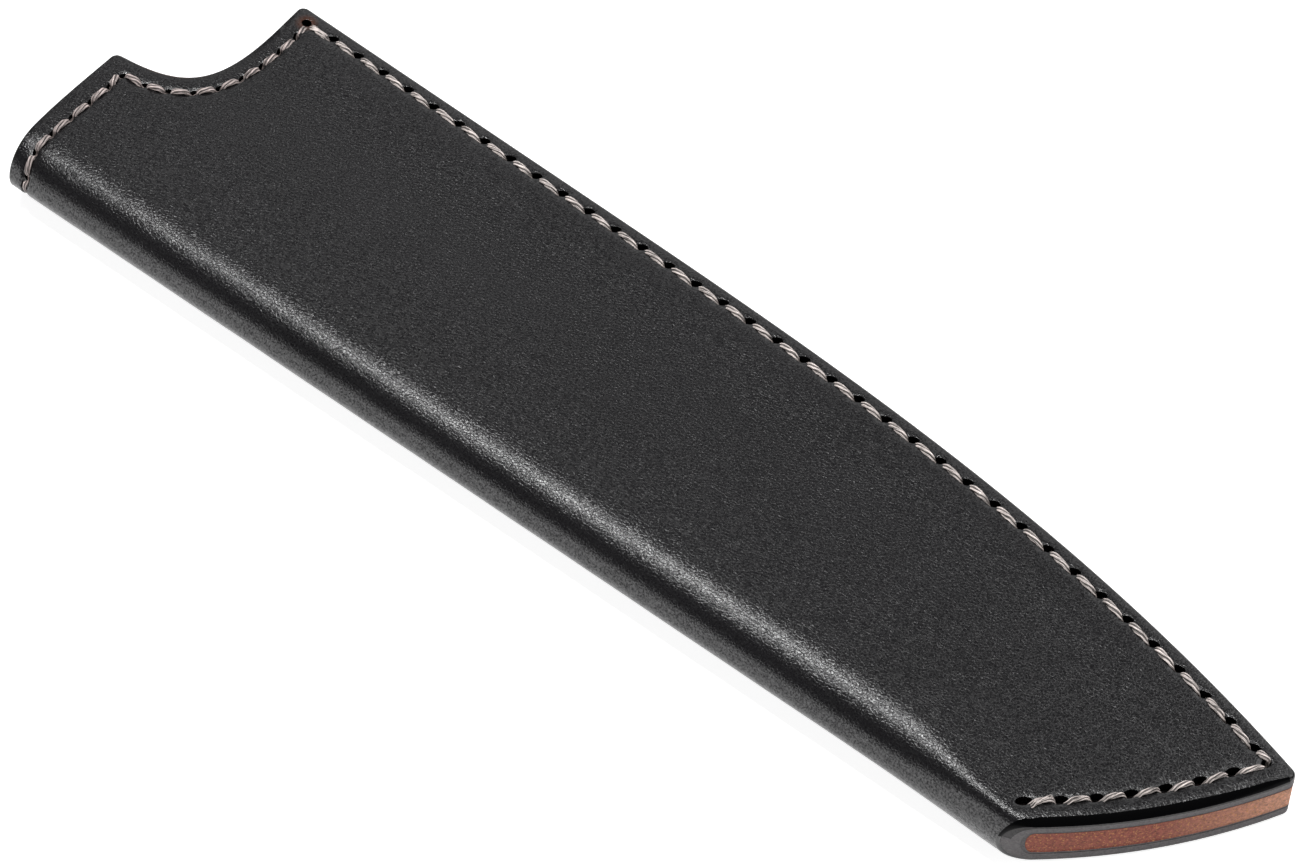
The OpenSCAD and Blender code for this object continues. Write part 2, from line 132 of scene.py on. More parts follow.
class SeamSizes(bpy.types.PropertyGroup):
    """Sizes of the two seams and of their thread."""

    edge_margin: length("Edge seam", "Edge seam to the edge", 2.5)
    tip_margin: length("Tip seam", "Tip seam to the tip end", 3.45)
    mouth_margin: length("Mouth seam", "Mouth seam to the straight mouth", 4.1)
    notch_margin: length("Notch seam", "Mouth seam to the notch", 3.3)
    seam_back: length("Seam set-back", "Set-back of the mouth seam at the fold", 1.8)
    seam_fade: length("Seam fade", "Width over which that set-back fades", 2.5)
    tip_seam_end: length("Tip seam end", "Last tip stitch to the fold", 4.6)
    edge_pitch: length("Edge stitch", "Stitch length along the edge", 4.98)
    mouth_pitch: length("Mouth stitch", "Stitch length round the mouth", 3.92)
    tip_stitches: IntProperty(name="Tip stitches", description="Stitches across the tip", default=7)
    notch_stitches: IntProperty(name="Notch stitches", description="Stitches along the notch", default=8)
    edge_thread: length("Edge thread", "Thickness of the edge thread", 0.9)
    mouth_thread: length("Mouth thread", "Thickness of the mouth thread", 0.7)
    front_bed: length("Front bed", "Depth that the thread has pressed into the front", 0.06)
    ply_pitch: length("Twist", "Length in which the thread's plies turn once", 9)


class GuardColours(bpy.types.PropertyGroup):
    """Colours of the leathers and the thread."""

    grain: colour("Grain side", "Dyed grain side of the cover", "#19181a")
    burnish: colour("Burnished edge", "Waxed and burnished arris of the cover", "#060607")
    cut: colour("Cut edge", "Dyed cut edge of the cover and the lining", "#777475")
    flesh: colour("Flesh side", "Inside of the cover", "#3a3330")
    suede: colour("Lining", "Suede side of the lining", "#6e4a38")
    welt: colour("Welt", "Raw cut edge of the welt", "#985345")
    # Painted light: the welt's cut edge as it looks where light falls on it near the tip corner.
    welt_painted_light: colour("Pale welt", "Raw cut edge of the welt at the tip corner", "#dca287")
    welt_fleck: colour("Welt flecks", "Bright fibres in the welt's cut edge", "#c98f57")
    bare: colour("Bare leather", "Undyed leather where a hole or the notch has worn", "#56301f")
    thread: colour("Thread", "Waxed thread of the edge", "#d9cec9")
    fine_thread: colour("Fine thread", "Waxed thread of the mouth", "#c4b6b2")


class StageSettings(bpy.types.PropertyGroup):
    """Camera, lamps and floor."""

    lens: FloatProperty(name="Lens", description="Focal length in millimetres", default=115.2)
    azimuth: FloatProperty(
        name="Azimuth", description="Camera's turn from the fold's side", default=math.radians(38.73),
        subtype="ANGLE")
    elevation: FloatProperty(
        name="Elevation", description="Camera's height as an angle", default=math.radians(52.55),
        subtype="ANGLE")
    roll: FloatProperty(
        name="Roll", description="Camera's roll", default=math.radians(0.51), subtype="ANGLE")
    distance: length("Distance", "Camera to its target on the table", 574.23)
    target_x: FloatProperty(
        name="Target X", description="Camera's target along the guard", default=-0.83 * MM, unit="LENGTH")
    target_y: FloatProperty(
        name="Target Y", description="Camera's target across the guard", default=0.64 * MM, unit="LENGTH")
    softbox: FloatProperty(name="Softbox", description="Power of the softbox", default=6.7, unit="POWER")
    cards: FloatProperty(
        name="Cards", description="Power that each card has a share of", default=5, unit="POWER")
    fill: FloatProperty(name="Fill", description="Power of the high fill lamp", default=5, unit="POWER")
    sky: FloatProperty(name="Sky", description="Strength of the even light", default=0.08)


LEAST_REACH = 0.4 * MM  # of the fold's innermost face
CLEAR = 0.05 * MM  # between a thread and its bed or hole
BRIDGE = 0.5 * MM  # leather left between two holes
SHARE_STEP = 0.01  # over which a curve's heading is taken where it runs from zero to one
OFF_RIM = 1.05  # how far outside a slit's rim, at one, the leather's other points begin
LARGEST_MISFIT = 0.8 * MM  # between a piece and the box of its node
LAMPS_AWAY = 1.15  # from the middle of the guard, in metres

# Material slots of the cover.
GRAIN, BURNISH, CUT, FLESH, DYE, WAXED = range(6)

# Settings of a node that blends or multiplies its colour inputs, 6 and 7.
BLENDED = {"data_type": "RGBA"}
MULTIPLIED = {"data_type": "RGBA", "blend_type": "MULTIPLY", 0: 1.0}


def unit(v):
    """Vectors of length one along the last axis."""
    v = np.asarray(v, float)
    return v / np.maximum(np.linalg.norm(v, axis=-1, keepdims=True), 1e-12)


def mix(a, b, t):
    """The value a share t of the way from a to b."""
    return a + (b - a) * t


def smooth(low, high, value):
    """Zero below low, one above high, and an even curve between them."""
    t = np.clip((value - low) / (high - low), 0, 1)
    return t * t * (3 - 2 * t)


def left_of(v):
    """Directions turned a quarter to the left."""
    return np.stack((-v[..., 1], v[..., 0]), axis=-1)


def beside(curve, at, distance, step=SHARE_STEP):
    """Points of a curve, moved a distance to its right."""
    return curve(at) - left_of(unit(curve(at + step) - curve(at - step))) * distance


def lengths_along(points):
    """Distance from the first point to each point along a line."""
    steps = np.linalg.norm(np.diff(points, axis=0), axis=1)
    return np.concatenate(([0.0], np.cumsum(steps)))


def on_line(points, lengths, at):
    """Points of a line at distances along it."""
    return np.stack([np.interp(at, lengths, points[:, k]) for k in range(points.shape[1])], axis=-1)


def tree_of(points):
    """Finds the number of the nearest of some points."""
    tree = kdtree.KDTree(len(points))
    for i, point in enumerate(points):
        tree.insert(point, i)
    tree.balance()
    return tree


class Form:
    """The guard's folded sheet. x is counted from the mouth, and u is the distance from the fold,
    above zero on the front and below zero on the back. Depth is counted inwards from the surface."""

    arc_steps = 8
    fold_points, rim_points, tip_points, tip_fold_points = 19, 20, 60, 12
    notch_steps = 40
    edge_step = 0.9 * MM
    heading_step = 0.1 * MM
    notch_from, notch_to = 0.1, 0.94
    tip_from, tip_aim = 1 / 12, 0.08
    swell_rise = 2.6 * MM
    swell_reach = 11 * MM

    def __init__(self, sizes):
        s = self.s = sizes
        self.wall = s.cover_t + s.lining_t
        self.fold_t = 2 * self.wall + s.pocket_t
        self.edge_t = 2 * self.wall + s.welt_t
        self.tip_corner = np.array((s.guard_len, s.tip_w))
        self.fold_end = np.array((s.fold_len, 0.0))
        self.tip_out = unit((s.tip_w, s.fold_len - s.guard_len))
        self.edge_fall = s.heel_w - s.tip_w - s.edge_lean * (s.guard_len - s.notch_depth)
        edge = self.front_half()
        self.middle = np.array(((edge[:, 0].min() + edge[:, 0].max()) / 2, edge[:, 1].max() / 2, 0))

    def top_z(self, y):
        fall = (y - self.s.fold_round) / (self.s.heel_w - self.s.fold_round)
        return self.fold_t - (self.fold_t - self.edge_t) * fall

    def rim_x(self, y):
        return self.s.rim_back * np.exp(-np.maximum(y, 0) / self.s.rim_fade)

    def notch_at(self, t):
        s = self.s
        t = np.asarray(t, float)[..., None]
        peak = np.array((0, s.mouth_w))
        run = np.array((s.notch_pull, s.mouth_w + s.notch_rise))
        bulge = np.array((s.notch_depth + s.notch_bulge, s.mouth_w + s.notch_bulge_y))
        heel = np.array((s.notch_depth, s.heel_w))
        return (1 - t)**3 * peak + 3 * (1 - t)**2 * t * run + 3 * (1 - t) * t**2 * bulge + t**3 * heel

    def edge_y(self, x):
        s = self.s
        belly = np.maximum(0, x - s.belly_start) / (s.guard_len - s.belly_start)
        return s.heel_w - s.edge_lean * (x - s.notch_depth) - self.edge_fall * belly**3

    def edge_at(self, x):
        return np.stack((x, self.edge_y(x)), axis=-1)

    def beside_edge(self, x, distance):
        return beside(self.edge_at, x, distance, self.heading_step)

    def tip_at(self, t):
        t = np.asarray(t, float)[..., None]
        bow = self.s.tip_bow * 4 * t * (1 - t)
        return mix(self.tip_corner, self.fold_end, t) + self.tip_out * bow

    def tip_share(self, points):
        """How far along the tip end points lie: zero at the corner and one at the fold."""
        chord = self.fold_end - self.tip_corner
        return (points - self.tip_corner) @ chord / (chord @ chord)

    def tip_gap(self, points):
        """Distance from points to the tip end."""
        share = self.tip_share(points)
        return self.s.tip_bow * 4 * share * (1 - share) - (points - self.tip_corner) @ self.tip_out

    def tip_x(self, y):
        """Where the tip end lies at a height above the fold."""
        line = self.tip_at(np.linspace(1.05, 0.5, 60))
        return np.interp(y, line[:, 1], line[:, 0])

    def swell(self, places):
        """How far the front stands up beside the long edge, which the seam has pressed down."""
        inwards = np.maximum(0, self.edge_y(places[:, 0]) - places[:, 1])
        rise = (1 - np.exp(-inwards / self.swell_rise)) * np.exp(-(inwards / self.swell_reach)**2)
        room = np.maximum(0, self.fold_t - self.top_z(places[:, 1]))
        return self.s.edge_swell * room * rise * (places[:, 1] > 0)

    def round_at(self, x):
        s = self.s
        return mix(s.fold_round, s.tip_round, smooth(0, s.square_run, x - s.fold_len + s.square_run))

    def skin(self, x, u, depth=0.0):
        """Points of the sheet a depth below its surface."""
        x, u, depth = np.broadcast_arrays(np.asarray(x, float), u, depth)
        turn = self.round_at(x)
        angle = np.clip(u / turn, -1, 1) * math.pi / 2
        folded = depth + np.maximum(LEAST_REACH, turn - depth) * (1 - np.cos(angle))
        y = np.where(np.abs(u) < turn, folded, np.abs(u))
        z = depth + (self.top_z(y) - 2 * depth) * (1 + np.sin(angle)) / 2
        return np.stack((x, y, z), axis=-1)

    def across(self, x, u):
        """How the surface moves when u grows."""
        step = 0.02 * MM
        return (self.skin(x, u + step) - self.skin(x, u - step)) / (2 * step)

    def normal(self, x, u):
        """The way out of the surface."""
        return unit(np.cross(np.array((1.0, 0.0, 0.0)), self.across(x, u)))

    def round_corner(self, before, corner, after):
        """Arc that replaces a corner between two directions."""
        first, second = unit(before - corner), unit(after - corner)
        half = math.acos(float(first @ second)) / 2
        centre = corner + unit(first + second) * self.s.corner_round / math.sin(half)
        start = math.atan2(first[1], first[0]) - math.pi / 2
        angles = start - (math.pi - 2 * half) * np.linspace(0, 1, self.arc_steps + 1)
        return centre + self.s.corner_round * np.stack((np.cos(angles), np.sin(angles)), axis=-1)

    def front_half(self, depth=0.0):
        """Cut line of the front half as [x, u], from the middle of the fold at the mouth, round the
        notch, the edge and the tip, to the middle of the fold again."""
        s = self.s
        corner_run = 2.5 * s.corner_round
        edge_from, edge_to = s.notch_depth + corner_run, s.guard_len - corner_run
        fold_u = np.linspace(0, s.fold_round, self.fold_points)
        fold_y = self.skin(0, fold_u, depth)[:, 1]
        rim_y = np.linspace(s.fold_round, s.mouth_w - corner_run, self.rim_points)[1:-1]
        rim_end = np.array((self.rim_x(s.mouth_w), s.mouth_w))
        edge_x = np.linspace(edge_from, edge_to, round((edge_to - edge_from) / self.edge_step))
        tip_line = self.tip_at(np.linspace(self.tip_from, 1, self.tip_points))
        tip_line = tip_line[tip_line[:, 1] > s.tip_round + 0.2 * MM]
        tip_u = np.linspace(s.tip_round, 0, self.tip_fold_points)
        tip_y = self.skin(s.fold_len, tip_u, depth)[:, 1]
        heel = np.array((s.notch_depth, s.heel_w))
        return np.concatenate((
            np.stack((self.rim_x(fold_y), fold_u), axis=-1),
            np.stack((self.rim_x(rim_y), rim_y), axis=-1),
            self.round_corner(rim_end - (0, corner_run), rim_end, self.notch_at(self.notch_from)),
            self.notch_at(np.linspace(self.notch_from, self.notch_to, self.notch_steps)[:-1]),
            self.round_corner(self.notch_at(self.notch_to), heel, self.edge_at(edge_from)),
            self.edge_at(edge_x)[1:-1],
            self.round_corner(self.edge_at(edge_to), self.tip_corner, self.tip_at(self.tip_aim)),
            tip_line,
            np.stack((self.tip_x(tip_y), tip_u), axis=-1)))

    def cut_line(self, depth=0.0):
        """The whole cut line as [x, u]: the front half and then the back half."""
        front = self.front_half(depth)
        back = front[-2:0:-1] * (1, -1)
        return np.concatenate((front, back))

    def moved_in(self, line, distance):
        """A closed line moved inwards over the surface, evenly or by a distance for each point."""
        points = self.skin(line[:, 0], line[:, 1])
        tangent = unit(np.roll(points, -1, axis=0) - np.roll(points, 1, axis=0))
        inwards = unit(np.cross(tangent, self.normal(line[:, 0], line[:, 1])))
        across = self.across(line[:, 0], line[:, 1])
        u_share = np.sum(inwards * across, axis=1) / np.sum(across**2, axis=1)
        return line + np.stack((inwards[:, 0] * distance, u_share * distance), axis=-1)


class Seams:
    """Where the stitch holes lie, as [x, u] on the folded sheet."""

    edge_samples = 80
    notch_samples = 40

    def __init__(self, form, seam):
        s = form.s
        self.form, self.seam = form, seam
        self.edge_hole = 2 * seam.edge_thread + 4 * CLEAR
        self.mouth_hole = 2 * seam.mouth_thread + 4 * CLEAR
        heel_x = s.notch_depth + seam.notch_margin
        search = np.linspace(s.guard_len - 12 * MM, s.guard_len, 25)
        corner_x = np.interp(-seam.tip_margin, -form.tip_gap(self.edge_seam_at(search)), search)
        run = self.edge_seam_at(np.linspace(heel_x, corner_x, self.edge_samples + 1))
        lengths = lengths_along(run)
        whole = math.floor((lengths[-1] - self.edge_hole - BRIDGE) / seam.edge_pitch)
        table_t = np.linspace(1.1, -0.1, 25)
        table_y = self.tip_seam_at(table_t)[:, 1]
        first_t, last_t = np.interp((run[-1][1], seam.tip_seam_end), table_y, table_t)
        tip_t = mix(first_t, last_t, np.arange(1, seam.tip_stitches + 1) / seam.tip_stitches)
        self.edge = np.concatenate((
            on_line(run, lengths, np.arange(whole + 1) * seam.edge_pitch),
            run[-1:],
            self.tip_seam_at(tip_t)))
        self.first_tip = whole + 1
        self.mouth = self.mouth_seam()
        self.lines = (self.edge, self.edge * (1, -1), self.mouth)

    def edge_seam_at(self, x):
        return self.form.beside_edge(x, self.seam.edge_margin)

    def tip_seam_at(self, t):
        return beside(self.form.tip_at, t, self.seam.tip_margin)

    def seam_x(self, y):
        seam = self.seam
        return seam.mouth_margin + seam.seam_back * np.exp(-np.maximum(y, 0) / seam.seam_fade)

    def notch_seam_at(self, t):
        return beside(self.form.notch_at, t, self.seam.notch_margin)

    def mouth_seam(self):
        """Holes from the heel down the notch and the mouth, round the fold and up the back."""
        form, s, seam = self.form, self.form.s, self.seam
        table_t = np.linspace(0, 1, 51)
        table = self.notch_seam_at(table_t)
        peak_t = np.interp(self.seam_x(s.mouth_w), table[:26, 0], table_t[:26])
        first_y = form.edge_y(s.notch_depth) - s.welt_w - self.mouth_hole / 2 - CLEAR
        first_t = np.interp(first_y, table[30:, 1], table_t[30:])
        run = self.notch_seam_at(np.linspace(first_t, peak_t, self.notch_samples + 1))
        lengths = lengths_along(run)
        notch = on_line(run, lengths, np.linspace(0, lengths[-1], seam.notch_stitches + 1))
        fold_u = np.linspace(0, s.fold_round, 200)
        fold_v = lengths_along(form.skin(0, fold_u))
        half = fold_v[-1]
        peak_v = notch[-1][1] - s.fold_round + half
        count = math.floor((peak_v - self.mouth_hole - BRIDGE) / seam.mouth_pitch + 0.5)
        v = (np.arange(count - 1, -count - 1, -1) + 0.5) * seam.mouth_pitch
        flat_u = np.abs(v) + s.fold_round - half
        u = np.sign(v) * np.where(np.abs(v) < half, np.interp(np.abs(v), fold_v, fold_u), flat_u)
        straight = np.stack((self.seam_x(form.skin(0, u)[:, 1]), u), axis=-1)
        heel = self.edge[:1]
        return np.concatenate((heel, notch, straight, notch[::-1] * (1, -1)))


class Slits:
    """Every stitch hole on the outer surface. A kind of hole has a length and a width in mm, the
    slit's and the strands' turn from the seam in degrees, the strands' reach and how far the hole
    lies to the right of them in mm, and the share of their thickness that they keep."""

    edge_kind = (2.1, 1.2, 34, 7, 0.86, -0.16, 1)
    corner_kind = (1.5, 1.3, 0, 0, 0.62, 0, 0.8)
    tip_kind = (2.3, 1.3, 6, -12, 0.95, 0.18, 0.8)
    heel_kind = (1.6, 1.4, 0, 0, 0.85, -0.3, 1)
    heel_mouth_kind = (1.6, 1.4, 0, 0, 0.75, 0.3, 1)
    mouth_kind = (1.6, 0.85, 26, 2, 0.68, 0, 1)
    pull = 1.3
    search = 2.5 * MM
    ring_sides = 14

    def __init__(self, form, seams):
        self.form = form
        self.front, self.back = (
            [self.edge_slit(seams, i, hand) for i in range(len(seams.edge))] for hand in (1, -1))
        self.mouth = [
            self.slit(seams.mouth, i, self.mouth_kind if i else self.heel_mouth_kind)
            for i in range(len(seams.mouth))]
        self.all = self.front + self.back + self.mouth[1:]
        self.tree = tree_of([slit["point"] for slit in self.all])

    def edge_slit(self, seams, i, side):
        kind = self.tip_kind if i > seams.first_tip else self.edge_kind
        if i in (0, seams.first_tip):
            kind = self.corner_kind if i else self.heel_kind
        return self.slit(seams.edge * (1, side), i, kind, side)

    def slit(self, holes, i, kind, hand=1):
        """The hole of a kind at place i of a row, mirrored when hand is -1."""
        long_side, short_side, turn, lay_turn, reach, shift, thick = kind
        turn, lay_turn = math.radians(turn) * hand, math.radians(lay_turn) * hand
        shift = shift * MM * hand
        form = self.form
        x, u = holes[i]
        point, normal = form.skin(x, u), form.normal(x, u)
        before, after = holes[max(i - 1, 0)], holes[min(i + 1, len(holes) - 1)]
        heading = form.skin(*after) - form.skin(*before)
        along = unit(heading - normal * (heading @ normal))
        side = np.cross(normal, along)
        way = along * math.cos(turn) + side * math.sin(turn)
        if i:
            across = form.across(x, u)
            moved = -self.pull * shift
            x, u = x + moved * side[0], u + moved * (side @ across) / (across @ across)
            point = form.skin(x, u)
        lay = along * math.cos(lay_turn) + side * math.sin(lay_turn)
        return {
            "place": np.array((x, u)), "point": point, "normal": normal, "along": along, "way": way,
            "side": np.cross(normal, way), "half": (long_side * MM / 2, short_side * MM / 2),
            "lay": lay * reach * MM, "shift": side * shift, "thick": thick}

    def nearness(self, point):
        """Where a point lies from the nearest slit's middle: one on its rim, and more outside it."""
        _, i, distance = self.tree.find(point)
        if distance > self.search:
            return math.inf
        slit = self.all[i]
        offset = point - slit["point"]
        return math.hypot(offset @ slit["way"] / slit["half"][0], offset @ slit["side"] / slit["half"][1])

    def ring(self, slit, grow=0.0):
        """Outline of a slit as [x, u], grown by a distance."""
        angles = np.arange(self.ring_sides) * 2 * math.pi / self.ring_sides
        long_half, short_half = slit["half"][0] + grow, slit["half"][1] + grow
        offset = (
            slit["way"] * (long_half * np.cos(angles))[:, None]
            + slit["side"] * (short_half * np.sin(angles))[:, None])
        across = self.form.across(*slit["place"])
        return slit["place"] + np.stack((offset[:, 0], offset @ across / (across @ across)), axis=-1)


def on_front(rise):
    """How far a normal that rises so much belongs to the front: zero on the back and one on top."""
    return smooth(0.1, 1.0, rise)


class Relief:
    """How far the outer surface is pressed in: stitch beds, rims of holes and the leather's own
    unevenness."""

    sample_step = 0.2 * MM
    front_width = (0.3 * MM, 1.2 * MM)
    back_width = (0.46 * MM, 0.66 * MM)
    lip_depth = 0.07 * MM
    lip_reach = 1.65
    uneven = 0.035 * MM
    uneven_size = 9 * MM
    flat_beside = (0.5 * MM, 3 * MM)

    def __init__(self, form, seams, slits):
        self.form, self.slits = form, slits
        self.front_bed = seams.seam.front_bed
        edge_bed, mouth_bed = seams.seam.edge_thread + 2 * CLEAR, seams.seam.mouth_thread + 2 * CLEAR
        self.samples = []
        for holes, bed in zip(seams.lines, (edge_bed, edge_bed, mouth_bed)):
            lengths = lengths_along(holes)
            at = np.arange(0, lengths[-1], self.sample_step)
            self.samples += [(place, bed) for place in on_line(holes, lengths, at)]
        self.tree = tree_of([form.skin(*place) for place, _ in self.samples])

    def lip(self, point):
        """Depth of the pulled-in leather round the nearest slit."""
        return self.lip_depth * (1 - float(smooth(1, self.lip_reach, self.slits.nearness(point))))

    def depths(self, places):
        """Depth of the finished surface at [x, u] places."""
        points = self.form.skin(places[:, 0], places[:, 1])
        ups = on_front(self.form.normal(places[:, 0], places[:, 1])[:, 2])
        depths = -self.form.swell(places)
        for k, (point, up) in enumerate(zip(points, ups)):
            _, i, distance = self.tree.find(point)
            bed = mix(self.samples[i][1], self.front_bed, up)
            near, far = (mix(back, front, up) for back, front in zip(self.back_width, self.front_width))
            groove = bed * (1 - float(smooth(near, far, distance)))
            wave = self.uneven * (noise.noise(Vector(point) / self.uneven_size) + 0.3)
            depths[k] += groove + self.lip(point) + wave * float(smooth(*self.flat_beside, distance))
        return depths


def inside(loop, points):
    """Which points lie inside a closed line."""
    x, y = points[:, 0][:, None], points[:, 1][:, None]
    a, b = loop, np.roll(loop, -1, axis=0)
    crosses = (a[:, 1] > y) != (b[:, 1] > y)
    rise = np.where(b[:, 1] == a[:, 1], 1e-12, b[:, 1] - a[:, 1])
    at = a[:, 0] + (y - a[:, 1]) * (b[:, 0] - a[:, 0]) / rise
    return (crosses & (x < at)).sum(axis=1) % 2 == 1


def clear_of(taken, points, gap):
    """The points that lie at least a gap from all those taken and from each other."""
    cells = {}
    for p in taken:
        cells.setdefault((math.floor(p[0] / gap), math.floor(p[1] / gap)), []).append(p)
    kept = []
    for p in points:
        column, row = math.floor(p[0] / gap), math.floor(p[1] / gap)
        near = [q for i in (-1, 0, 1) for j in (-1, 0, 1) for q in cells.get((column + i, row + j), ())]
        if all(math.hypot(p[0] - q[0], p[1] - q[1]) >= gap for q in near):
            cells.setdefault((column, row), []).append(p)
            kept.append(p)
    return np.array(kept).reshape(-1, 2)


def grid(x_range, u_range, x_step, u_step):
    """Even points over a rectangle."""
    xs = np.arange(x_range[0], x_range[1], x_step)
    us = np.arange(u_range[0], u_range[1], u_step)
    return np.stack(np.meshgrid(xs, us), axis=-1).reshape(-1, 2)


def rows_beside(line, offsets, step):
    """Rows of points along a line, each at an offset to its side."""
    lengths = lengths_along(line)
    at = np.linspace(0, lengths[-1], max(2, round(lengths[-1] / step)))
    points = on_line(line, lengths, at)
    side = left_of(unit(np.gradient(points, axis=0)))
    return np.concatenate([points + side * offset for offset in offsets])


def triangulate(loop, rings, fillers):
    """Triangles over the points inside a loop and outside its rings. Returns all points, the
    triangles, and the numbers of the first ring's and the later rings' first points."""
    points = np.concatenate([loop, *rings, fillers])
    edges, starts, owner = [], [], np.full(len(points), -1)
    start = 0
    for k, part in enumerate([loop, *rings]):
        count = len(part)
        edges += [(start + i, start + (i + 1) % count) for i in range(count)]
        owner[start:start + count] = k
        starts.append(start)
        start += count
    found, _, faces, sources, _, _ = geometry.delaunay_2d_cdt(
        [Vector(p) for p in points / MM], edges, [], 1, 1e-6)
    if len(found) != len(points):
        raise RuntimeError(f"{len(points)} points of a sheet became {len(found)}")
    source = [s[0] for s in sources]
    faces = [[source[i] for i in face] for face in faces]
    kept = [f for f in faces if not (owner[f[0]] > 0 and owner[f[0]] == owner[f[1]] == owner[f[2]])]
    return points, kept, starts


class Builder:
    """Collects points and faces of one piece, and makes its mesh."""

    def __init__(self, form):
        self.form = form
        self.points, self.faces, self.slots, self.uvs = [], [], [], []
        self.count = 0

    def add(self, points):
        """Adds points and returns the number of the first."""
        first = self.count
        self.points.append(np.asarray(points, float).reshape(-1, 3))
        self.count += len(self.points[-1])
        return first

    def face(self, corners, slot=0, uvs=None):
        self.faces.append(tuple(int(c) for c in corners))
        self.slots.append(slot)
        self.uvs.append(uvs)

    def band(self, first, second, slots):
        """Quads between two closed rows, with a slot for each."""
        count = len(slots)
        for i, slot in enumerate(slots):
            j = (i + 1) % count
            self.face((first + i, first + j, second + j, second + i), slot)

    def holes(self, first_rings, second_rings, sides, slot):
        """Walls between the rings on two faces."""
        for first, second in zip(first_rings, second_rings):
            self.band(first, second, [slot] * sides)

    def make(self, name, materials, sharp_angle=None):
        """The finished object, in the frame's place and in metres."""
        points = np.concatenate(self.points) - self.form.middle
        mesh = bpy.data.meshes.new(name)
        mesh.from_pydata([tuple(p) for p in points], [], self.faces)
        mesh.polygons.foreach_set("material_index", self.slots)
        if any(uv is not None for uv in self.uvs):
            layer = mesh.uv_layers.new(name="strand")
            layer.data.foreach_set("uv", [c for uv in self.uvs for pair in uv for c in pair])
        for material in materials:
            mesh.materials.append(material)
        work = bmesh.new()
        work.from_mesh(mesh)
        bmesh.ops.remove_doubles(work, verts=work.verts, dist=1e-7)
        bmesh.ops.recalc_face_normals(work, faces=work.faces)
        work.to_mesh(mesh)
        work.free()
        mesh.polygons.foreach_set("use_smooth", [True] * len(mesh.polygons))
        if sharp_angle is not None:
            mesh.set_sharp_from_angle(angle=sharp_angle)
        mesh.update()
        piece = bpy.data.objects.new(name, mesh)
        bpy.context.scene.collection.objects.link(piece)
        return piece


def sheet_fillers(form, seams, slits, loop, fine):
    """Points inside a sheet's loop: dense along the seams and the fold, loose elsewhere. Each set of
    points comes with the least gap in mm that they keep to each other and to the sets before."""
    s = form.s
    fold = grid((0, s.guard_len), (-s.fold_round, s.fold_round + 0.1 * MM), 1.1 * MM, 0.5 * MM)
    panel = grid((0, s.guard_len), (-s.heel_w, s.heel_w), 2 * MM, 2 * MM)
    taken = np.concatenate([loop] + [slits.ring(slit) for slit in slits.all])
    sets = ((fold[::2], 0.5), (panel, 1.2))
    if fine:
        grown_by = (0.16 * MM, 0.4 * MM)
        halo = [slits.ring(slit, grow) for slit in slits.all for grow in grown_by]
        to_side = np.array((0, 0.24, 0.48, 0.64, 0.95, 1.35)) * MM
        both_sides = np.concatenate((-to_side[:0:-1], to_side))
        rows = [rows_beside(line, both_sides, 0.45 * MM) for line in seams.lines]
        sets = ((np.concatenate(halo), 0.1), (np.concatenate(rows), 0.14), (fold, 0.4), (panel, 1.2))
    kept = np.empty((0, 2))
    for points, gap in sets:
        points = points[inside(loop, points)]
        points = points[[slits.nearness(p) > OFF_RIM for p in form.skin(points[:, 0], points[:, 1])]]
        points = clear_of(np.concatenate((taken, kept)), points, gap * MM)
        kept = np.concatenate((kept, points))
    return kept


def sheet(form, seams, slits, builder, shape, relief=None):
    """Adds one face of a sheet, at a depth, to a builder. Returns where its loop and rings start."""
    loop, depth, slot, shrink = shape
    rings = [slits.ring(slit, -shrink) for slit in slits.all]
    fillers = sheet_fillers(form, seams, slits, loop, relief is not None)
    places, faces, starts = triangulate(loop, rings, fillers)
    depths = relief.depths(places) if relief else np.full(len(places), depth)
    if relief:
        depths[:len(loop)] = -form.swell(loop)
    first = builder.add(form.skin(places[:, 0], places[:, 1], depths))
    for face in faces:
        builder.face([first + i for i in face], slot)
    return [first + s for s in starts]


def edge_profile(form, line, steps=9):
    """How the burnished edge turns over at each point of the cut line, as rows of distances in and
    depths, and where it is bevelled: a small rounding, and a wide bevel on the front of the tip,
    which grows from the tip corner on, first fast and then slowly, and ends before the fold."""
    s = form.s
    fast, slow = (0.02, 0.12), (0.08, 0.42)
    before_fold = (0.3 * MM, 3 * MM)
    near_tip = 0.5 * MM
    least_bevel = 0.02
    round_squareness, bevel_squareness = 1.2, 1.75
    share = form.tip_share(line)
    on_tip = np.abs(form.tip_gap(line)) < near_tip
    growing = 0.5 * smooth(*fast, share) + 0.5 * smooth(*slow, share)
    bevel = on_tip * growing * smooth(*before_fold, line[:, 1])
    run, drop = mix(s.edge_round, s.tip_run, bevel), mix(s.edge_round, s.tip_drop, bevel)
    squareness = mix(round_squareness, bevel_squareness, bevel)
    turns = np.linspace(0, math.pi / 2, steps + 1)
    rows = [
        (run * (1 - math.sin(turn)**squareness), drop * (1 - math.cos(turn)**squareness))
        for turn in turns]
    return rows, bevel > least_bevel


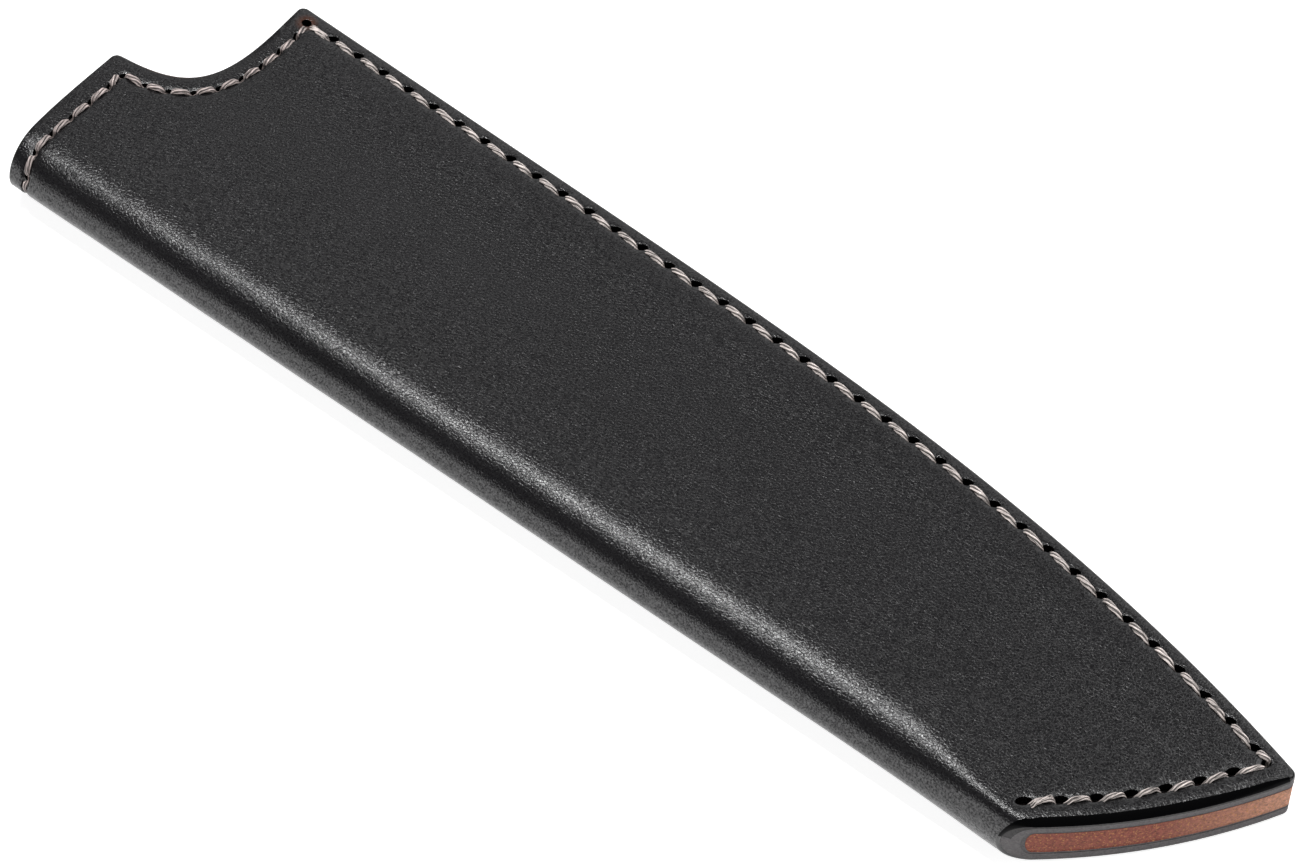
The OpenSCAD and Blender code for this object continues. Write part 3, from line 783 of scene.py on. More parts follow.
def build_cover(form, seams, slits, materials):
    """The folded outer sheet, with its burnished edge, slits and stitch beds."""
    s = form.s
    builder = Builder(form)
    line = form.cut_line()
    count = len(line)
    profile, bevelled = edge_profile(form, line)
    relief = Relief(form, seams, slits)
    outer_loop = form.moved_in(line, profile[0][0])
    outer = sheet(form, seams, slits, builder, (outer_loop, 0.0, GRAIN, 0.0), relief)
    row = outer[0]
    for k, (run, drop) in enumerate(profile[1:], 1):
        moved = form.moved_in(line, run)
        depth = drop - form.swell(moved) * (1 - k / (len(profile) - 1))
        after = builder.add(form.skin(moved[:, 0], moved[:, 1], depth))
        builder.band(row, after, np.where(bevelled, DYE, BURNISH))
        row = after
    inner_line = form.cut_line(s.cover_t)
    for share in (1 / 3, 2 / 3):
        depth = mix(profile[-1][1], s.cover_t, share)
        here = mix(line, inner_line, (depth / s.cover_t)[:, None])
        after = builder.add(form.skin(here[:, 0], here[:, 1], depth))
        builder.band(row, after, np.where(bevelled, WAXED, CUT) if share < 0.5 else [CUT] * count)
        row = after
    inner = sheet(form, seams, slits, builder, (inner_line, s.cover_t, FLESH, 0.0))
    builder.band(row, inner[0], [CUT] * count)
    builder.holes(outer[1:], inner[1:], slits.ring_sides, DYE)
    return builder.make("guard_cover", materials, sharp_angle=math.radians(42))


def build_lining(form, seams, slits, materials):
    """The thin sheet glued inside the cover."""
    s = form.s
    builder = Builder(form)
    glue = 0.01 * MM
    recess = 0.05 * MM
    shrink = 0.03 * MM
    top = s.cover_t + glue
    loops = [form.moved_in(form.cut_line(depth), recess) for depth in (top, form.wall)]
    outer = sheet(form, seams, slits, builder, (loops[0], top, 0, shrink))
    inner = sheet(form, seams, slits, builder, (loops[1], form.wall, 1, shrink))
    builder.band(outer[0], inner[0], [0] * len(loops[0]))
    builder.holes(outer[1:], inner[1:], slits.ring_sides, 0)
    return builder.make("guard_lining", materials, sharp_angle=math.radians(42))


def welt_inner_line(form):
    """Pocket side of the welt's front half as [x, u], from the fold to the notch."""
    s = form.s
    corner_room, notch_room = 0.5 * MM, 0.3 * MM
    tip_t = np.linspace(1.02, 0.0, 60)
    tip = beside(form.tip_at, tip_t, s.tip_welt_w)
    edge = form.beside_edge(np.linspace(s.guard_len, 0, 240), s.welt_w)
    edge_under = np.interp(tip[:, 0], edge[::-1, 0], edge[::-1, 1])
    tip = tip[(tip[:, 1] < edge_under - corner_room) & (tip[:, 1] > s.tip_round)]
    edge = edge[edge[:, 0] < tip[-1][0] - corner_room]
    notch = form.notch_at(np.linspace(0.1, 1, 400))
    notch_x = np.interp(edge[:, 1], notch[:, 1], notch[:, 0])
    edge = edge[edge[:, 0] > notch_x + notch_room]
    u = np.linspace(0, s.tip_round, 8)[:-1]
    x = np.full(len(u), tip[0][0] - 0.1 * MM)
    return np.concatenate((np.stack((x, u), axis=-1), tip, edge))


def build_welt(form, slits, materials):
    """The strip between the two sides, with its raw cut edge in sight at the tip."""
    s = form.s
    builder = Builder(form)
    glue = 0.015 * MM
    shrink = 0.05 * MM
    spacing, least_gap = 1.7 * MM, 0.7 * MM
    rows = 9
    fuzz, fuzz_size = 0.06 * MM, 0.5 * MM
    seam_gap = 0.15 * MM
    depth = form.wall + glue
    half = form.front_half(depth)
    notch_end = np.argmin(np.abs(half[:, 1] - (form.edge_y(s.notch_depth) - s.welt_w))
                          + (half[:, 0] < s.notch_depth / 2) + (half[:, 0] > s.notch_depth * 2))
    outer = half[notch_end:]
    inner = welt_inner_line(form)
    loop = np.concatenate((outer, inner))
    rings = [slits.ring(slit, -shrink) for slit in slits.front]
    panel = grid((0, s.guard_len), (0, s.heel_w), spacing, spacing)
    panel = clear_of(np.concatenate([loop] + rings), panel[inside(loop, panel)], least_gap)
    places, faces, starts = triangulate(loop, rings, panel)
    sides = [form.skin(places[:, 0], places[:, 1] * side, depth) for side in (1, -1)]
    front, back = (builder.add(side) for side in sides)
    for first in (front, back):
        for face in faces:
            builder.face([first + i for i in face], 0)
    ring_starts = ([first + start for start in starts[1:]] for first in (front, back))
    builder.holes(*ring_starts, slits.ring_sides, 0)
    tangent = unit(np.roll(loop, -1, axis=0) - np.roll(loop, 1, axis=0))
    outwards = np.concatenate((left_of(tangent), np.zeros((len(loop), 1))), axis=1)
    previous = front
    for share in (1 - np.cos(np.linspace(0, math.pi, rows)[1:-1])) / 2:
        row = mix(sides[0][:len(loop)], sides[1][:len(loop)], share)
        swell = fuzz * np.array([noise.noise(Vector(p) / fuzz_size) for p in row])
        inset = seam_gap * (1 - math.sin(math.pi * share))**4
        now = builder.add(row + outwards * (swell - inset)[:, None])
        builder.band(previous, now, [1] * len(loop))
        previous = now
    builder.band(previous, back, [1] * len(loop))
    return builder.make("guard_welt", materials, sharp_angle=math.radians(50))


class Strand:
    """Points that one strand follows, each with the way its flat side faces and its share of the
    full thickness."""

    def __init__(self, thread):
        self.thread = thread
        self.points, self.ups, self.widths = [], [], []

    def add(self, point, up, width):
        self.points.append(point)
        self.ups.append(up)
        self.widths.append(width)

    def joined(self, other):
        """This strand walked backwards and then the other one forwards."""
        whole = Strand(self.thread)
        whole.points = self.points[::-1] + other.points
        whole.ups = self.ups[::-1] + other.ups
        whole.widths = self.widths[::-1] + other.widths
        return whole

    def sampled(self, open_step=0.27 * MM, hidden_step=0.9 * MM, open_width=0.7, tension=1.2):
        """A smooth line through the points, finer where it is in sight."""
        p = np.array(self.points)
        up, width = np.array(self.ups), np.array(self.widths)
        before = np.concatenate((p[:1], p[:-1]))
        after = np.concatenate((p[1:], p[-1:]))
        slope = (after - before) / 2
        out_p, out_up, out_width = [], [], []
        for i in range(len(p) - 1):
            gap = np.linalg.norm(p[i + 1] - p[i])
            hidden = max(width[i], width[i + 1]) < open_width
            steps = max(1, math.ceil(gap / (hidden_step if hidden else open_step)))
            t = (np.arange(steps) / steps)[:, None]
            m0, m1 = (
                m * min(1, gap * tension / max(np.linalg.norm(m), 1e-9)) for m in slope[i:i + 2])
            out_p.append(
                (2 * t**3 - 3 * t**2 + 1) * p[i] + (t**3 - 2 * t**2 + t) * m0
                + (3 * t**2 - 2 * t**3) * p[i + 1] + (t**3 - t**2) * m1)
            out_up.append(mix(up[i], up[i + 1], t))
            out_width.append(mix(width[i], width[i + 1], t[:, 0]))
        out_p.append(p[-1:])
        out_up.append(up[-1:])
        out_width.append(width[-1:])
        return np.concatenate(out_p), np.concatenate(out_up), np.concatenate(out_width)


class Stop:
    """One face of a stitch hole, and how far the middle of a strand lies off it. The face is on the
    guard's outside, or on the lining where a point inside is given."""

    def __init__(self, slit, lift, outer, inside=None):
        self.slit, self.lift, self.outer, self.place = slit, lift, outer, slit["place"]
        self.lined = inside is not None
        self.point = inside if self.lined else slit["point"]
        self.normal = -slit["normal"] if self.lined else slit["normal"]
        self.up = self.normal if outer else -self.normal


class Sewing:
    """Lays saddle stitches through a row of stops."""

    dive = 0.9
    inside = 0.7
    outside = 1.1
    sink = 0.34
    arch = 0.06
    swellings = ((0.2, 0.6), (0.38, 1.15), (0.62, 1.15), (0.8, 0.6))
    squeeze = 0.66
    pass_side = 0.27

    def __init__(self, form, thread, stops, taper, side_width):
        self.form, self.thread, self.stops = form, thread, stops
        self.taper, self.side_width = taper, side_width

    def surface(self, a, b, t):
        """A point of the leather between two stops, and the way out of it."""
        if a.lined:
            return mix(a.point, b.point, t), unit(mix(a.normal, b.normal, t))
        x, u = mix(a.place, b.place, t)
        return self.form.skin(x, u), self.form.normal(x, u)

    def stitch(self, strand, i, outer, cross=0.0):
        """One stitch on a face, from hole i to the next one. Cross turns it across its neighbour."""
        a, b = self.stops[i][outer], self.stops[i + 1][outer]
        d = self.thread
        over = np.cross(a.normal, unit(b.point - a.point)) * cross
        start = a.slit["lay"] + a.slit["shift"] + over
        end = b.slit["shift"] - b.slit["lay"] - over
        strand.add(a.point + start * self.inside - a.normal * self.dive * d, a.up, self.squeeze)
        ends = [self.taper * stop.slit["thick"] for stop in (a, b)]
        strand.add(a.point + start * self.outside + a.normal * (a.lift - self.sink * d), a.up, ends[0])
        for t, swelling in self.swellings:
            point, normal = self.surface(a, b, t)
            lift = mix(a.lift, b.lift, t) + self.arch * d * math.sin(math.pi * t)
            up = normal if a.outer else -normal
            thick = mix(a.slit["thick"], b.slit["thick"], t) * mix(self.side_width, 1, on_front(normal[2]))
            width = mix(self.taper, 1, swelling) * thick
            offset = mix(start, end, t)
            strand.add(point + offset + normal * (lift - offset @ normal), up, width)
        strand.add(b.point + end * self.outside + b.normal * (b.lift - self.sink * d), b.up, ends[1])
        strand.add(b.point + end * self.inside - b.normal * self.dive * d, b.up, self.squeeze)

    def pass_hole(self, strand, i, outer, side, middles):
        """From one face of hole i to the other, beside the other strand."""
        a, b = self.stops[i][outer], self.stops[i][not outer]
        start = a.point - a.slit["lay"] * self.inside - a.normal * self.dive * self.thread
        end = b.point + b.slit["lay"] * self.inside - b.normal * self.dive * self.thread
        aside = a.slit["side"] * side * self.pass_side * self.thread
        down = unit(b.point - a.point)
        along = a.slit["along"]
        up = along if outer else -along
        up = unit(up - down * (up @ down))
        for k in range(1, middles + 1):
            strand.add(mix(start, end, k / (middles + 1)) + aside, up, self.squeeze)

    def sewn(self, first_outer, begin, middles):
        """A whole strand, which changes faces at every hole."""
        strand = Strand(self.thread)
        last = len(self.stops) - 1
        side = 1 if first_outer else -1
        for i in range(begin, last):
            outer = (i % 2 == 0) == first_outer
            self.stitch(strand, i, outer)
            if i < last - 1:
                self.pass_hole(strand, i + 1, outer, side, middles)
        return strand


def add_plies(builder, strand, ply_pitch, wide, flat=0.8, plies=4, sides=6):
    """Turns a strand into twisted plies, pressed a little flat. The UV map runs along each ply
    and round it, from one side of the groove between plies to the other."""
    points, ups, widths = strand.sampled()
    along = unit(np.gradient(points, axis=0))
    up = unit(ups - along * np.sum(ups * along, axis=1, keepdims=True))
    across = np.cross(along, up)
    distance = lengths_along(points)
    d = strand.thread
    ply_r, twist_r = 0.22 * d, 0.31 * d
    angles = (np.arange(sides) / sides + 0.5) * 2 * math.pi
    count = len(points)
    for ply in range(plies):
        phase = 2 * math.pi * (distance / ply_pitch + ply / plies)
        centre_a, centre_u = twist_r * np.cos(phase), twist_r * np.sin(phase)
        turned = phase[:, None] + angles
        ring_a = (centre_a[:, None] + ply_r * np.cos(turned)) * widths[:, None] * wide
        ring_u = (centre_u[:, None] + ply_r * np.sin(turned)) * widths[:, None] * flat
        body = (
            points[:, None, :]
            + across[:, None, :] * ring_a[..., None]
            + up[:, None, :] * ring_u[..., None])
        first = builder.add(body)
        for i in range(count - 1):
            s0, s1 = distance[i] / MM, distance[i + 1] / MM
            for k in range(sides):
                j = (k + 1) % sides
                a, b = first + i * sides, first + (i + 1) * sides
                v0, v1 = k / sides, (k + 1) / sides
                builder.face((a + k, a + j, b + j, b + k), 0, ((s0, v0), (s0, v1), (s1, v1), (s1, v0)))
        flat_uv = ((0.0, 0.0),) * sides
        builder.face([first + k for k in range(sides)][::-1], 0, flat_uv)
        builder.face([first + (count - 1) * sides + k for k in range(sides)], 0, flat_uv)


def build_edge_thread(form, seams, slits, materials):
    """One thread, saddle stitched along the edge and the tip, with back stitches at both ends."""
    d, pitch = seams.seam.edge_thread, seams.seam.ply_pitch
    beside_face = d / 2 + CLEAR
    pressed = 0.29 * MM
    sunk = d + 2 * CLEAR
    stops = [
        {True: Stop(front, beside_face - pressed, True), False: Stop(back, beside_face - sunk, False)}
        for front, back in zip(slits.front, slits.back)]
    sewing = Sewing(form, d, stops, taper=0.88, side_width=1)
    builder = Builder(form)
    first, second = (sewing.sewn(outer, begin=0, middles=2) for outer in (True, False))
    add_plies(builder, first.joined(second), pitch, wide=1.06)
    for i, cross in ((0, 0.45 * d), (len(stops) - 2, -0.5 * d)):
        extra = Strand(d)
        sewing.stitch(extra, i, True, cross)
        add_plies(builder, extra, pitch, wide=0.9)
    return builder.make("guard_edge_thread", materials)


def build_mouth_thread(form, seams, slits, materials):
    """The thinner thread round the notch and the mouth, which sews the lining to the cover."""
    d, pitch = seams.seam.mouth_thread, seams.seam.ply_pitch
    beside_face = d / 2 + CLEAR
    pressed = 0.2 * MM
    stops = []
    for slit in slits.mouth:
        bed = mix(d + 2 * CLEAR, pressed, on_front(slit["normal"][2]))
        lining = form.skin(*slit["place"], form.wall)
        stops.append({
            True: Stop(slit, beside_face - bed, True),
            False: Stop(slit, beside_face - form.s.lining_t / 2, False, lining)})
    sewing = Sewing(form, d, stops, taper=0.92, side_width=0.66)
    builder = Builder(form)
    for outer, begin in ((True, 0), (False, 1)):
        add_plies(builder, sewing.sewn(outer, begin, middles=1), pitch, wide=1.36)
    return builder.make("guard_mouth_thread", materials)


def new_material(name):
    """An empty node material."""
    material = bpy.data.materials.new(name)
    material.use_nodes = True
    material.node_tree.nodes.clear()
    return material


def add_node(material, kind, settings=None, links=None):
    """Adds a shader node, sets its properties and inputs, and links its inputs to other outputs."""
    tree = material.node_tree
    node = tree.nodes.new("ShaderNode" + kind)
    for key, value in (settings or {}).items():
        if isinstance(key, str) and hasattr(node, key):
            setattr(node, key, value)
        else:
            node.inputs[key].default_value = value
    for key, (source, output) in (links or {}).items():
        tree.links.new(source.outputs[output], node.inputs[key])
    return node


def rgba(colour_value):
    return (*colour_value, 1.0)


def per_metre(millimetres):
    """Texture scale at which one cell measures so many millimetres."""
    return 1 / (millimetres * MM)


def place_of(point, form):
    """A point of the form in the frame's place."""
    return tuple(np.asarray(point) - form.middle)


def grain_leather(colours, form, seams):
    """Vegetable-tanned cowhide, drum dyed and waxed: satin, with fine pores, faint mottling and a
    little raw brown where the heel hole was opened."""
    m = new_material("vegetable_tanned_cowhide_dyed_black")
    where = add_node(m, "TexCoord")
    here = {"Vector": (where, "Object")}
    pores = add_node(m, "TexVoronoi", {
        "feature": "DISTANCE_TO_EDGE", "Scale": per_metre(0.45), "Randomness": 1.0}, here)
    creases = add_node(m, "MapRange", {"From Min": 0.0, "From Max": 0.16}, {"Value": (pores, "Distance")})
    fine = add_node(m, "TexNoise", {"Scale": per_metre(0.3), "Detail": 2.0}, here)
    broad = add_node(m, "TexNoise", {"Scale": per_metre(14), "Detail": 3.0}, here)
    height = add_node(m, "Math", {"operation": "MULTIPLY_ADD", 1: 0.55}, {
        0: (creases, "Result"), 2: (fine, "Fac")})
    bump = add_node(m, "Bump", {"Strength": 0.5, "Distance": 0.04 * MM}, {"Height": (height, "Value")})
    shade = add_node(m, "MapRange", {
        "From Min": 0.3, "From Max": 0.7, "To Min": 0.86, "To Max": 1.16}, {"Value": (broad, "Fac")})
    base = add_node(m, "Mix", {**MULTIPLIED, 6: rgba(colours.grain)}, {
        7: (shade, "Result")})
    heel = place_of(form.skin(*seams.edge[0]), form)
    distance = add_node(m, "VectorMath", {"operation": "DISTANCE", 1: heel}, {0: (where, "Object")})
    worn = add_node(m, "MapRange", {
        "From Min": 0.8 * MM, "From Max": 1.9 * MM, "To Min": 0.75, "To Max": 0.0}, {
        "Value": (distance, "Value")})
    tinted = add_node(m, "Mix", {**BLENDED, 7: rgba(colours.bare)}, {
        0: (worn, "Result"), 6: (base, 2)})
    rough = add_node(m, "MapRange", {
        "From Min": 0.3, "From Max": 0.7, "To Min": 0.19, "To Max": 0.27}, {"Value": (fine, "Fac")})
    speckle = add_node(m, "TexNoise", {"Scale": per_metre(0.28), "Detail": 2.0}, here)
    gloss = add_node(m, "MapRange", {
        "From Min": 0.36, "From Max": 0.64, "To Min": 0.22, "To Max": 0.78}, {"Value": (speckle, "Fac")})
    shader = add_node(m, "BsdfPrincipled", {"IOR": 1.5}, {
        "Base Color": (tinted, 2), "Roughness": (rough, "Result"), "Normal": (bump, "Normal"),
        "Specular IOR Level": (gloss, "Result")})
    add_node(m, "OutputMaterial", {}, {"Surface": (shader, "BSDF")})
    return m


def burnished_edge(colours, form):
    """Leather arris, waxed and rubbed until it glazes: dark, smooth and much glossier than the
    panels, and a little raw where the notch curves in."""
    m = new_material("burnished_leather_edge")
    where = add_node(m, "TexCoord")
    rubbed = add_node(m, "TexNoise", {"Scale": per_metre(1.3), "Detail": 4.0}, {
        "Vector": (where, "Object")})
    bump = add_node(m, "Bump", {"Strength": 0.25, "Distance": 0.06 * MM}, {"Height": (rubbed, "Fac")})
    notch = np.append(form.notch_at(0.3), form.edge_t - 0.5 * MM)
    distance = add_node(m, "VectorMath", {"operation": "DISTANCE", 1: place_of(notch, form)}, {
        0: (where, "Object")})
    worn = add_node(m, "MapRange", {
        "From Min": 2.5 * MM, "From Max": 7 * MM, "To Min": 0.6, "To Max": 0.0}, {
        "Value": (distance, "Value")})
    base = add_node(m, "Mix", {
        **BLENDED, 6: rgba(colours.burnish), 7: rgba(colours.bare)}, {0: (worn, "Result")})
    rough = add_node(m, "MapRange", {
        "From Min": 0.3, "From Max": 0.7, "To Min": 0.18, "To Max": 0.3}, {"Value": (rubbed, "Fac")})
    shader = add_node(m, "BsdfPrincipled", {"IOR": 1.5}, {
        "Base Color": (base, 2), "Roughness": (rough, "Result"), "Normal": (bump, "Normal")})
    add_node(m, "OutputMaterial", {}, {"Surface": (shader, "BSDF")})
    return m


def edge_dye(colours):
    """Black dye soaked into a bevel and into the stitch holes: nearly no colour and hardly a gloss."""
    m = new_material("black_edge_dye")
    shader = add_node(m, "BsdfPrincipled", {
        "Base Color": rgba(colours.burnish), "Roughness": 0.3, "IOR": 1.45, "Specular IOR Level": 0.06})
    add_node(m, "OutputMaterial", {}, {"Surface": (shader, "BSDF")})
    return m


def fibrous_leather(name, colour_a, colour_b, bump_mm, roughness):
    """Leather seen where it is cut or split: dull, with matted fibres and a mottled colour."""
    m = new_material(name)
    where = add_node(m, "TexCoord")
    fibre = add_node(m, "TexNoise", {"Scale": per_metre(0.35), "Detail": 6.0, "Roughness": 0.7}, {
        "Vector": (where, "Object")})
    spots = add_node(m, "MapRange", {"From Min": 0.35, "From Max": 0.65}, {"Value": (fibre, "Fac")})
    base = add_node(m, "Mix", {**BLENDED, 6: rgba(colour_a), 7: rgba(colour_b)}, {
        0: (spots, "Result")})
    bump = add_node(m, "Bump", {"Strength": 0.6, "Distance": bump_mm * MM}, {"Height": (fibre, "Fac")})
    shader = add_node(m, "BsdfPrincipled", {"IOR": 1.45, "Roughness": roughness}, {
        "Base Color": (base, 2), "Normal": (bump, "Normal")})
    add_node(m, "OutputMaterial", {}, {"Surface": (shader, "BSDF")})
    return m


def scaled(colour_value, factor):
    return tuple(min(1.0, c * factor) for c in colour_value)


def raw_welt(colours, form):
    """Undyed vegetable-tanned cowhide, cut with a knife and sanded: brown, dull and fibrous, with
    painted light that makes it paler towards the tip corner."""
    m = new_material("vegetable_tanned_cowhide_raw_edge")
    where = add_node(m, "TexCoord")
    here = {"Vector": (where, "Object")}
    corner = place_of((*form.tip_corner, form.edge_t / 2), form)
    distance = add_node(m, "VectorMath", {"operation": "DISTANCE", 1: corner}, {0: (where, "Object")})
    # Painted light: the colour turns paler towards the tip corner, as if lit there.
    painted_light = add_node(m, "MapRange", {
        "From Min": 1 * MM, "From Max": 19 * MM, "To Min": 1.0, "To Max": 0.0}, {
        "Value": (distance, "Value")})
    base = add_node(m, "Mix", {
        **BLENDED, 6: rgba(colours.welt), 7: rgba(colours.welt_painted_light)}, {0: (painted_light, "Result")})
    fibre = add_node(m, "TexNoise", {"Scale": per_metre(0.5), "Detail": 6.0, "Roughness": 0.75}, here)
    shade = add_node(m, "MapRange", {
        "From Min": 0.32, "From Max": 0.68, "To Min": 0.4, "To Max": 1.3}, {"Value": (fibre, "Fac")})
    mottled = add_node(m, "Mix", MULTIPLIED, {
        6: (base, 2), 7: (shade, "Result")})
    specks = add_node(m, "TexNoise", {"Scale": per_metre(0.28), "Detail": 2.0}, here)
    sharp = add_node(m, "MapRange", {
        "From Min": 0.57, "From Max": 0.66, "To Min": 0.0, "To Max": 0.8}, {"Value": (specks, "Fac")})
    flecked = add_node(m, "Mix", {**BLENDED, 7: rgba(colours.welt_fleck)}, {
        0: (sharp, "Result"), 6: (mottled, 2)})
    bump = add_node(m, "Bump", {"Strength": 0.8, "Distance": 0.12 * MM}, {"Height": (fibre, "Fac")})
    shader = add_node(m, "BsdfPrincipled", {"IOR": 1.45, "Roughness": 0.75}, {
        "Base Color": (flecked, 2), "Normal": (bump, "Normal")})
    add_node(m, "OutputMaterial", {}, {"Surface": (shader, "BSDF")})
    return m


def waxed_thread(name, shade_of_thread):
    """Waxed polyester, four plies laid together: grey, with a soft gloss along its filaments and
    painted shade in the grooves between its plies."""
    m = new_material(name)
    where = add_node(m, "TexCoord")
    stretch = add_node(m, "Mapping", {"Scale": (0.6, 5.0, 1.0)}, {"Vector": (where, "UV")})
    filament = add_node(m, "TexNoise", {"Scale": 1.0, "Detail": 3.0, "Roughness": 0.6}, {
        "Vector": (stretch, "Vector")})
    shade = add_node(m, "MapRange", {
        "From Min": 0.34, "From Max": 0.66, "To Min": 0.1, "To Max": 2.1}, {"Value": (filament, "Fac")})
    parts = add_node(m, "SeparateXYZ", {}, {0: (where, "UV")})
    offset = add_node(m, "Math", {"operation": "SUBTRACT", 1: 0.5}, {0: (parts, "Y")})
    aside = add_node(m, "Math", {"operation": "ABSOLUTE"}, {0: (offset, "Value")})
    # Painted shade: darker on the side of each ply that faces the groove between plies.
    groove = add_node(m, "MapRange", {
        "From Min": 0.1, "From Max": 0.3, "To Min": 1.0, "To Max": 0.22}, {"Value": (aside, "Value")})
    streaks_and_painted_groove_shade = add_node(m, "Math", {"operation": "MULTIPLY"}, {
        0: (shade, "Result"), 1: (groove, "Result")})
    base = add_node(m, "Mix", {**MULTIPLIED, 6: rgba(shade_of_thread)}, {
        7: (streaks_and_painted_groove_shade, "Value")})
    bump = add_node(m, "Bump", {"Strength": 1.0, "Distance": 0.15 * MM}, {"Height": (filament, "Fac")})
    shader = add_node(m, "BsdfPrincipled", {"IOR": 1.5, "Roughness": 0.32}, {
        "Base Color": (base, 2), "Normal": (bump, "Normal")})
    add_node(m, "OutputMaterial", {}, {"Surface": (shader, "BSDF")})
    return m


def studio_floor():
    """Matte white paper sweep, lifted a little for the camera so that it photographs white."""
    m = new_material("white_paper_sweep")
    paper = add_node(m, "BsdfDiffuse", {"Color": (0.86, 0.86, 0.86, 1)})
    path = add_node(m, "LightPath")
    seen = add_node(m, "Math", {"operation": "MAXIMUM"}, {
        0: (path, "Is Camera Ray"), 1: (path, "Is Transmission Ray")})
    mirrored = add_node(m, "Math", {"operation": "MULTIPLY", 1: 1.1}, {
        0: (path, "Is Glossy Ray")})
    lift = add_node(m, "Math", {"operation": "MULTIPLY_ADD", 1: 0.8}, {
        0: (seen, "Value"), 2: (mirrored, "Value")})
    glow = add_node(m, "Emission", {"Color": (1, 1, 1, 1)}, {"Strength": (lift, "Value")})
    both = add_node(m, "AddShader", {}, {0: (paper, "BSDF"), 1: (glow, "Emission")})
    add_node(m, "OutputMaterial", {}, {"Surface": (both, "Shader")})
    return m


def settings_of(context):
    return context.scene.blade_guard


def shapes(context):
    """The form, its seams and its slits, from the sizes in the sidebar."""
    guard = settings_of(context)
    form = Form(guard.sizes)
    seams = Seams(form, guard.seams)
    return form, seams, Slits(form, seams)


def dress(piece, node):
    """Puts a piece in a node's place and checks that it fills the node's box."""
    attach(piece, BODY)
    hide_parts(node)
    low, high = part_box(node)
    points = np.array([v.co for v in piece.data.vertices])
    box = np.array((points.min(axis=0), points.max(axis=0)))
    off = np.abs(box - np.array((low, high))).max()
    if off > LARGEST_MISFIT:
        raise RuntimeError(f"{piece.name} is {off / MM:.2f} mm off the box of {node}")


class GUARD_OT_cover(bpy.types.Operator):
    """Make the folded cover"""

    bl_idname = "blade_guard.cover"
    bl_label = "Cover"

    def execute(self, context):
        form, seams, slits = shapes(context)
        colours = settings_of(context).colours
        cut = fibrous_leather(
            "dyed_leather_cut_edge", colours.cut, scaled(colours.cut, 0.55), bump_mm=0.08, roughness=0.8)
        flesh = fibrous_leather(
            "dyed_leather_flesh_side", colours.flesh, scaled(colours.flesh, 0.7), bump_mm=0.1,
            roughness=0.9)
        waxed = fibrous_leather(
            "dyed_leather_cut_edge_waxed", scaled(colours.cut, 0.3), scaled(colours.cut, 0.12),
            bump_mm=0.08, roughness=0.7)
        materials = [
            grain_leather(colours, form, seams), burnished_edge(colours, form), cut, flesh,
            edge_dye(colours), waxed]
        dress(build_cover(form, seams, slits, materials), "cover")
        return {"FINISHED"}


class GUARD_OT_lining(bpy.types.Operator):
    """Make the lining"""

    bl_idname = "blade_guard.lining"
    bl_label = "Lining"

    def execute(self, context):
        form, seams, slits = shapes(context)
        colours = settings_of(context).colours
        edge = fibrous_leather(
            "dyed_lining_cut_edge", scaled(colours.cut, 0.85), scaled(colours.cut, 0.45), bump_mm=0.06,
            roughness=0.85)
        suede = fibrous_leather(
            "split_leather_suede", colours.suede, scaled(colours.suede, 0.72), bump_mm=0.08,
            roughness=0.95)
        dress(build_lining(form, seams, slits, [edge, suede]), "lining")
        return {"FINISHED"}


class GUARD_OT_welt(bpy.types.Operator):
    """Make the welt"""

    bl_idname = "blade_guard.welt"
    bl_label = "Welt"

    def execute(self, context):
        form, _, slits = shapes(context)
        colours = settings_of(context).colours
        split = fibrous_leather(
            "vegetable_tanned_split", colours.welt, scaled(colours.welt, 0.75), bump_mm=0.08,
            roughness=0.9)
        dress(build_welt(form, slits, [split, raw_welt(colours, form)]), "welt")
        return {"FINISHED"}


class GUARD_OT_threads(bpy.types.Operator):
    """Sew the edge and the mouth"""

    bl_idname = "blade_guard.threads"
    bl_label = "Threads"

    def execute(self, context):
        form, seams, slits = shapes(context)
        colours = settings_of(context).colours
        thick = waxed_thread("waxed_polyester_thread", colours.thread)
        fine = waxed_thread("waxed_polyester_fine_thread", colours.fine_thread)
        dress(build_edge_thread(form, seams, slits, [thick]), "edge_thread")
        dress(build_mouth_thread(form, seams, slits, [fine]), "mouth_thread")
        return {"FINISHED"}


class GUARD_OT_stage(bpy.types.Operator):
    """Set up the floor, the lamps and the camera"""

    bl_idname = "blade_guard.stage"
    bl_label = "Stage"

    def execute(self, context):
        stage = settings_of(context).stage
        make_floor()
        make_lamps(context, stage)
        make_camera(context, stage)
        context.scene.view_settings.view_transform = "Standard"
        return {"FINISHED"}


def make_floor(half=1.6, gap=0.02 * MM):
    """A wide flat sheet just under the guard."""
    work = bmesh.new()
    bmesh.ops.create_grid(work, x_segments=2, y_segments=2, size=half)
    mesh = bpy.data.meshes.new("floor")
    work.to_mesh(mesh)
    work.free()
    mesh.materials.append(studio_floor())
    floor = bpy.data.objects.new("floor", mesh)
    floor.location.z = CAD_BOX[0].z - gap
    bpy.context.scene.collection.objects.link(floor)


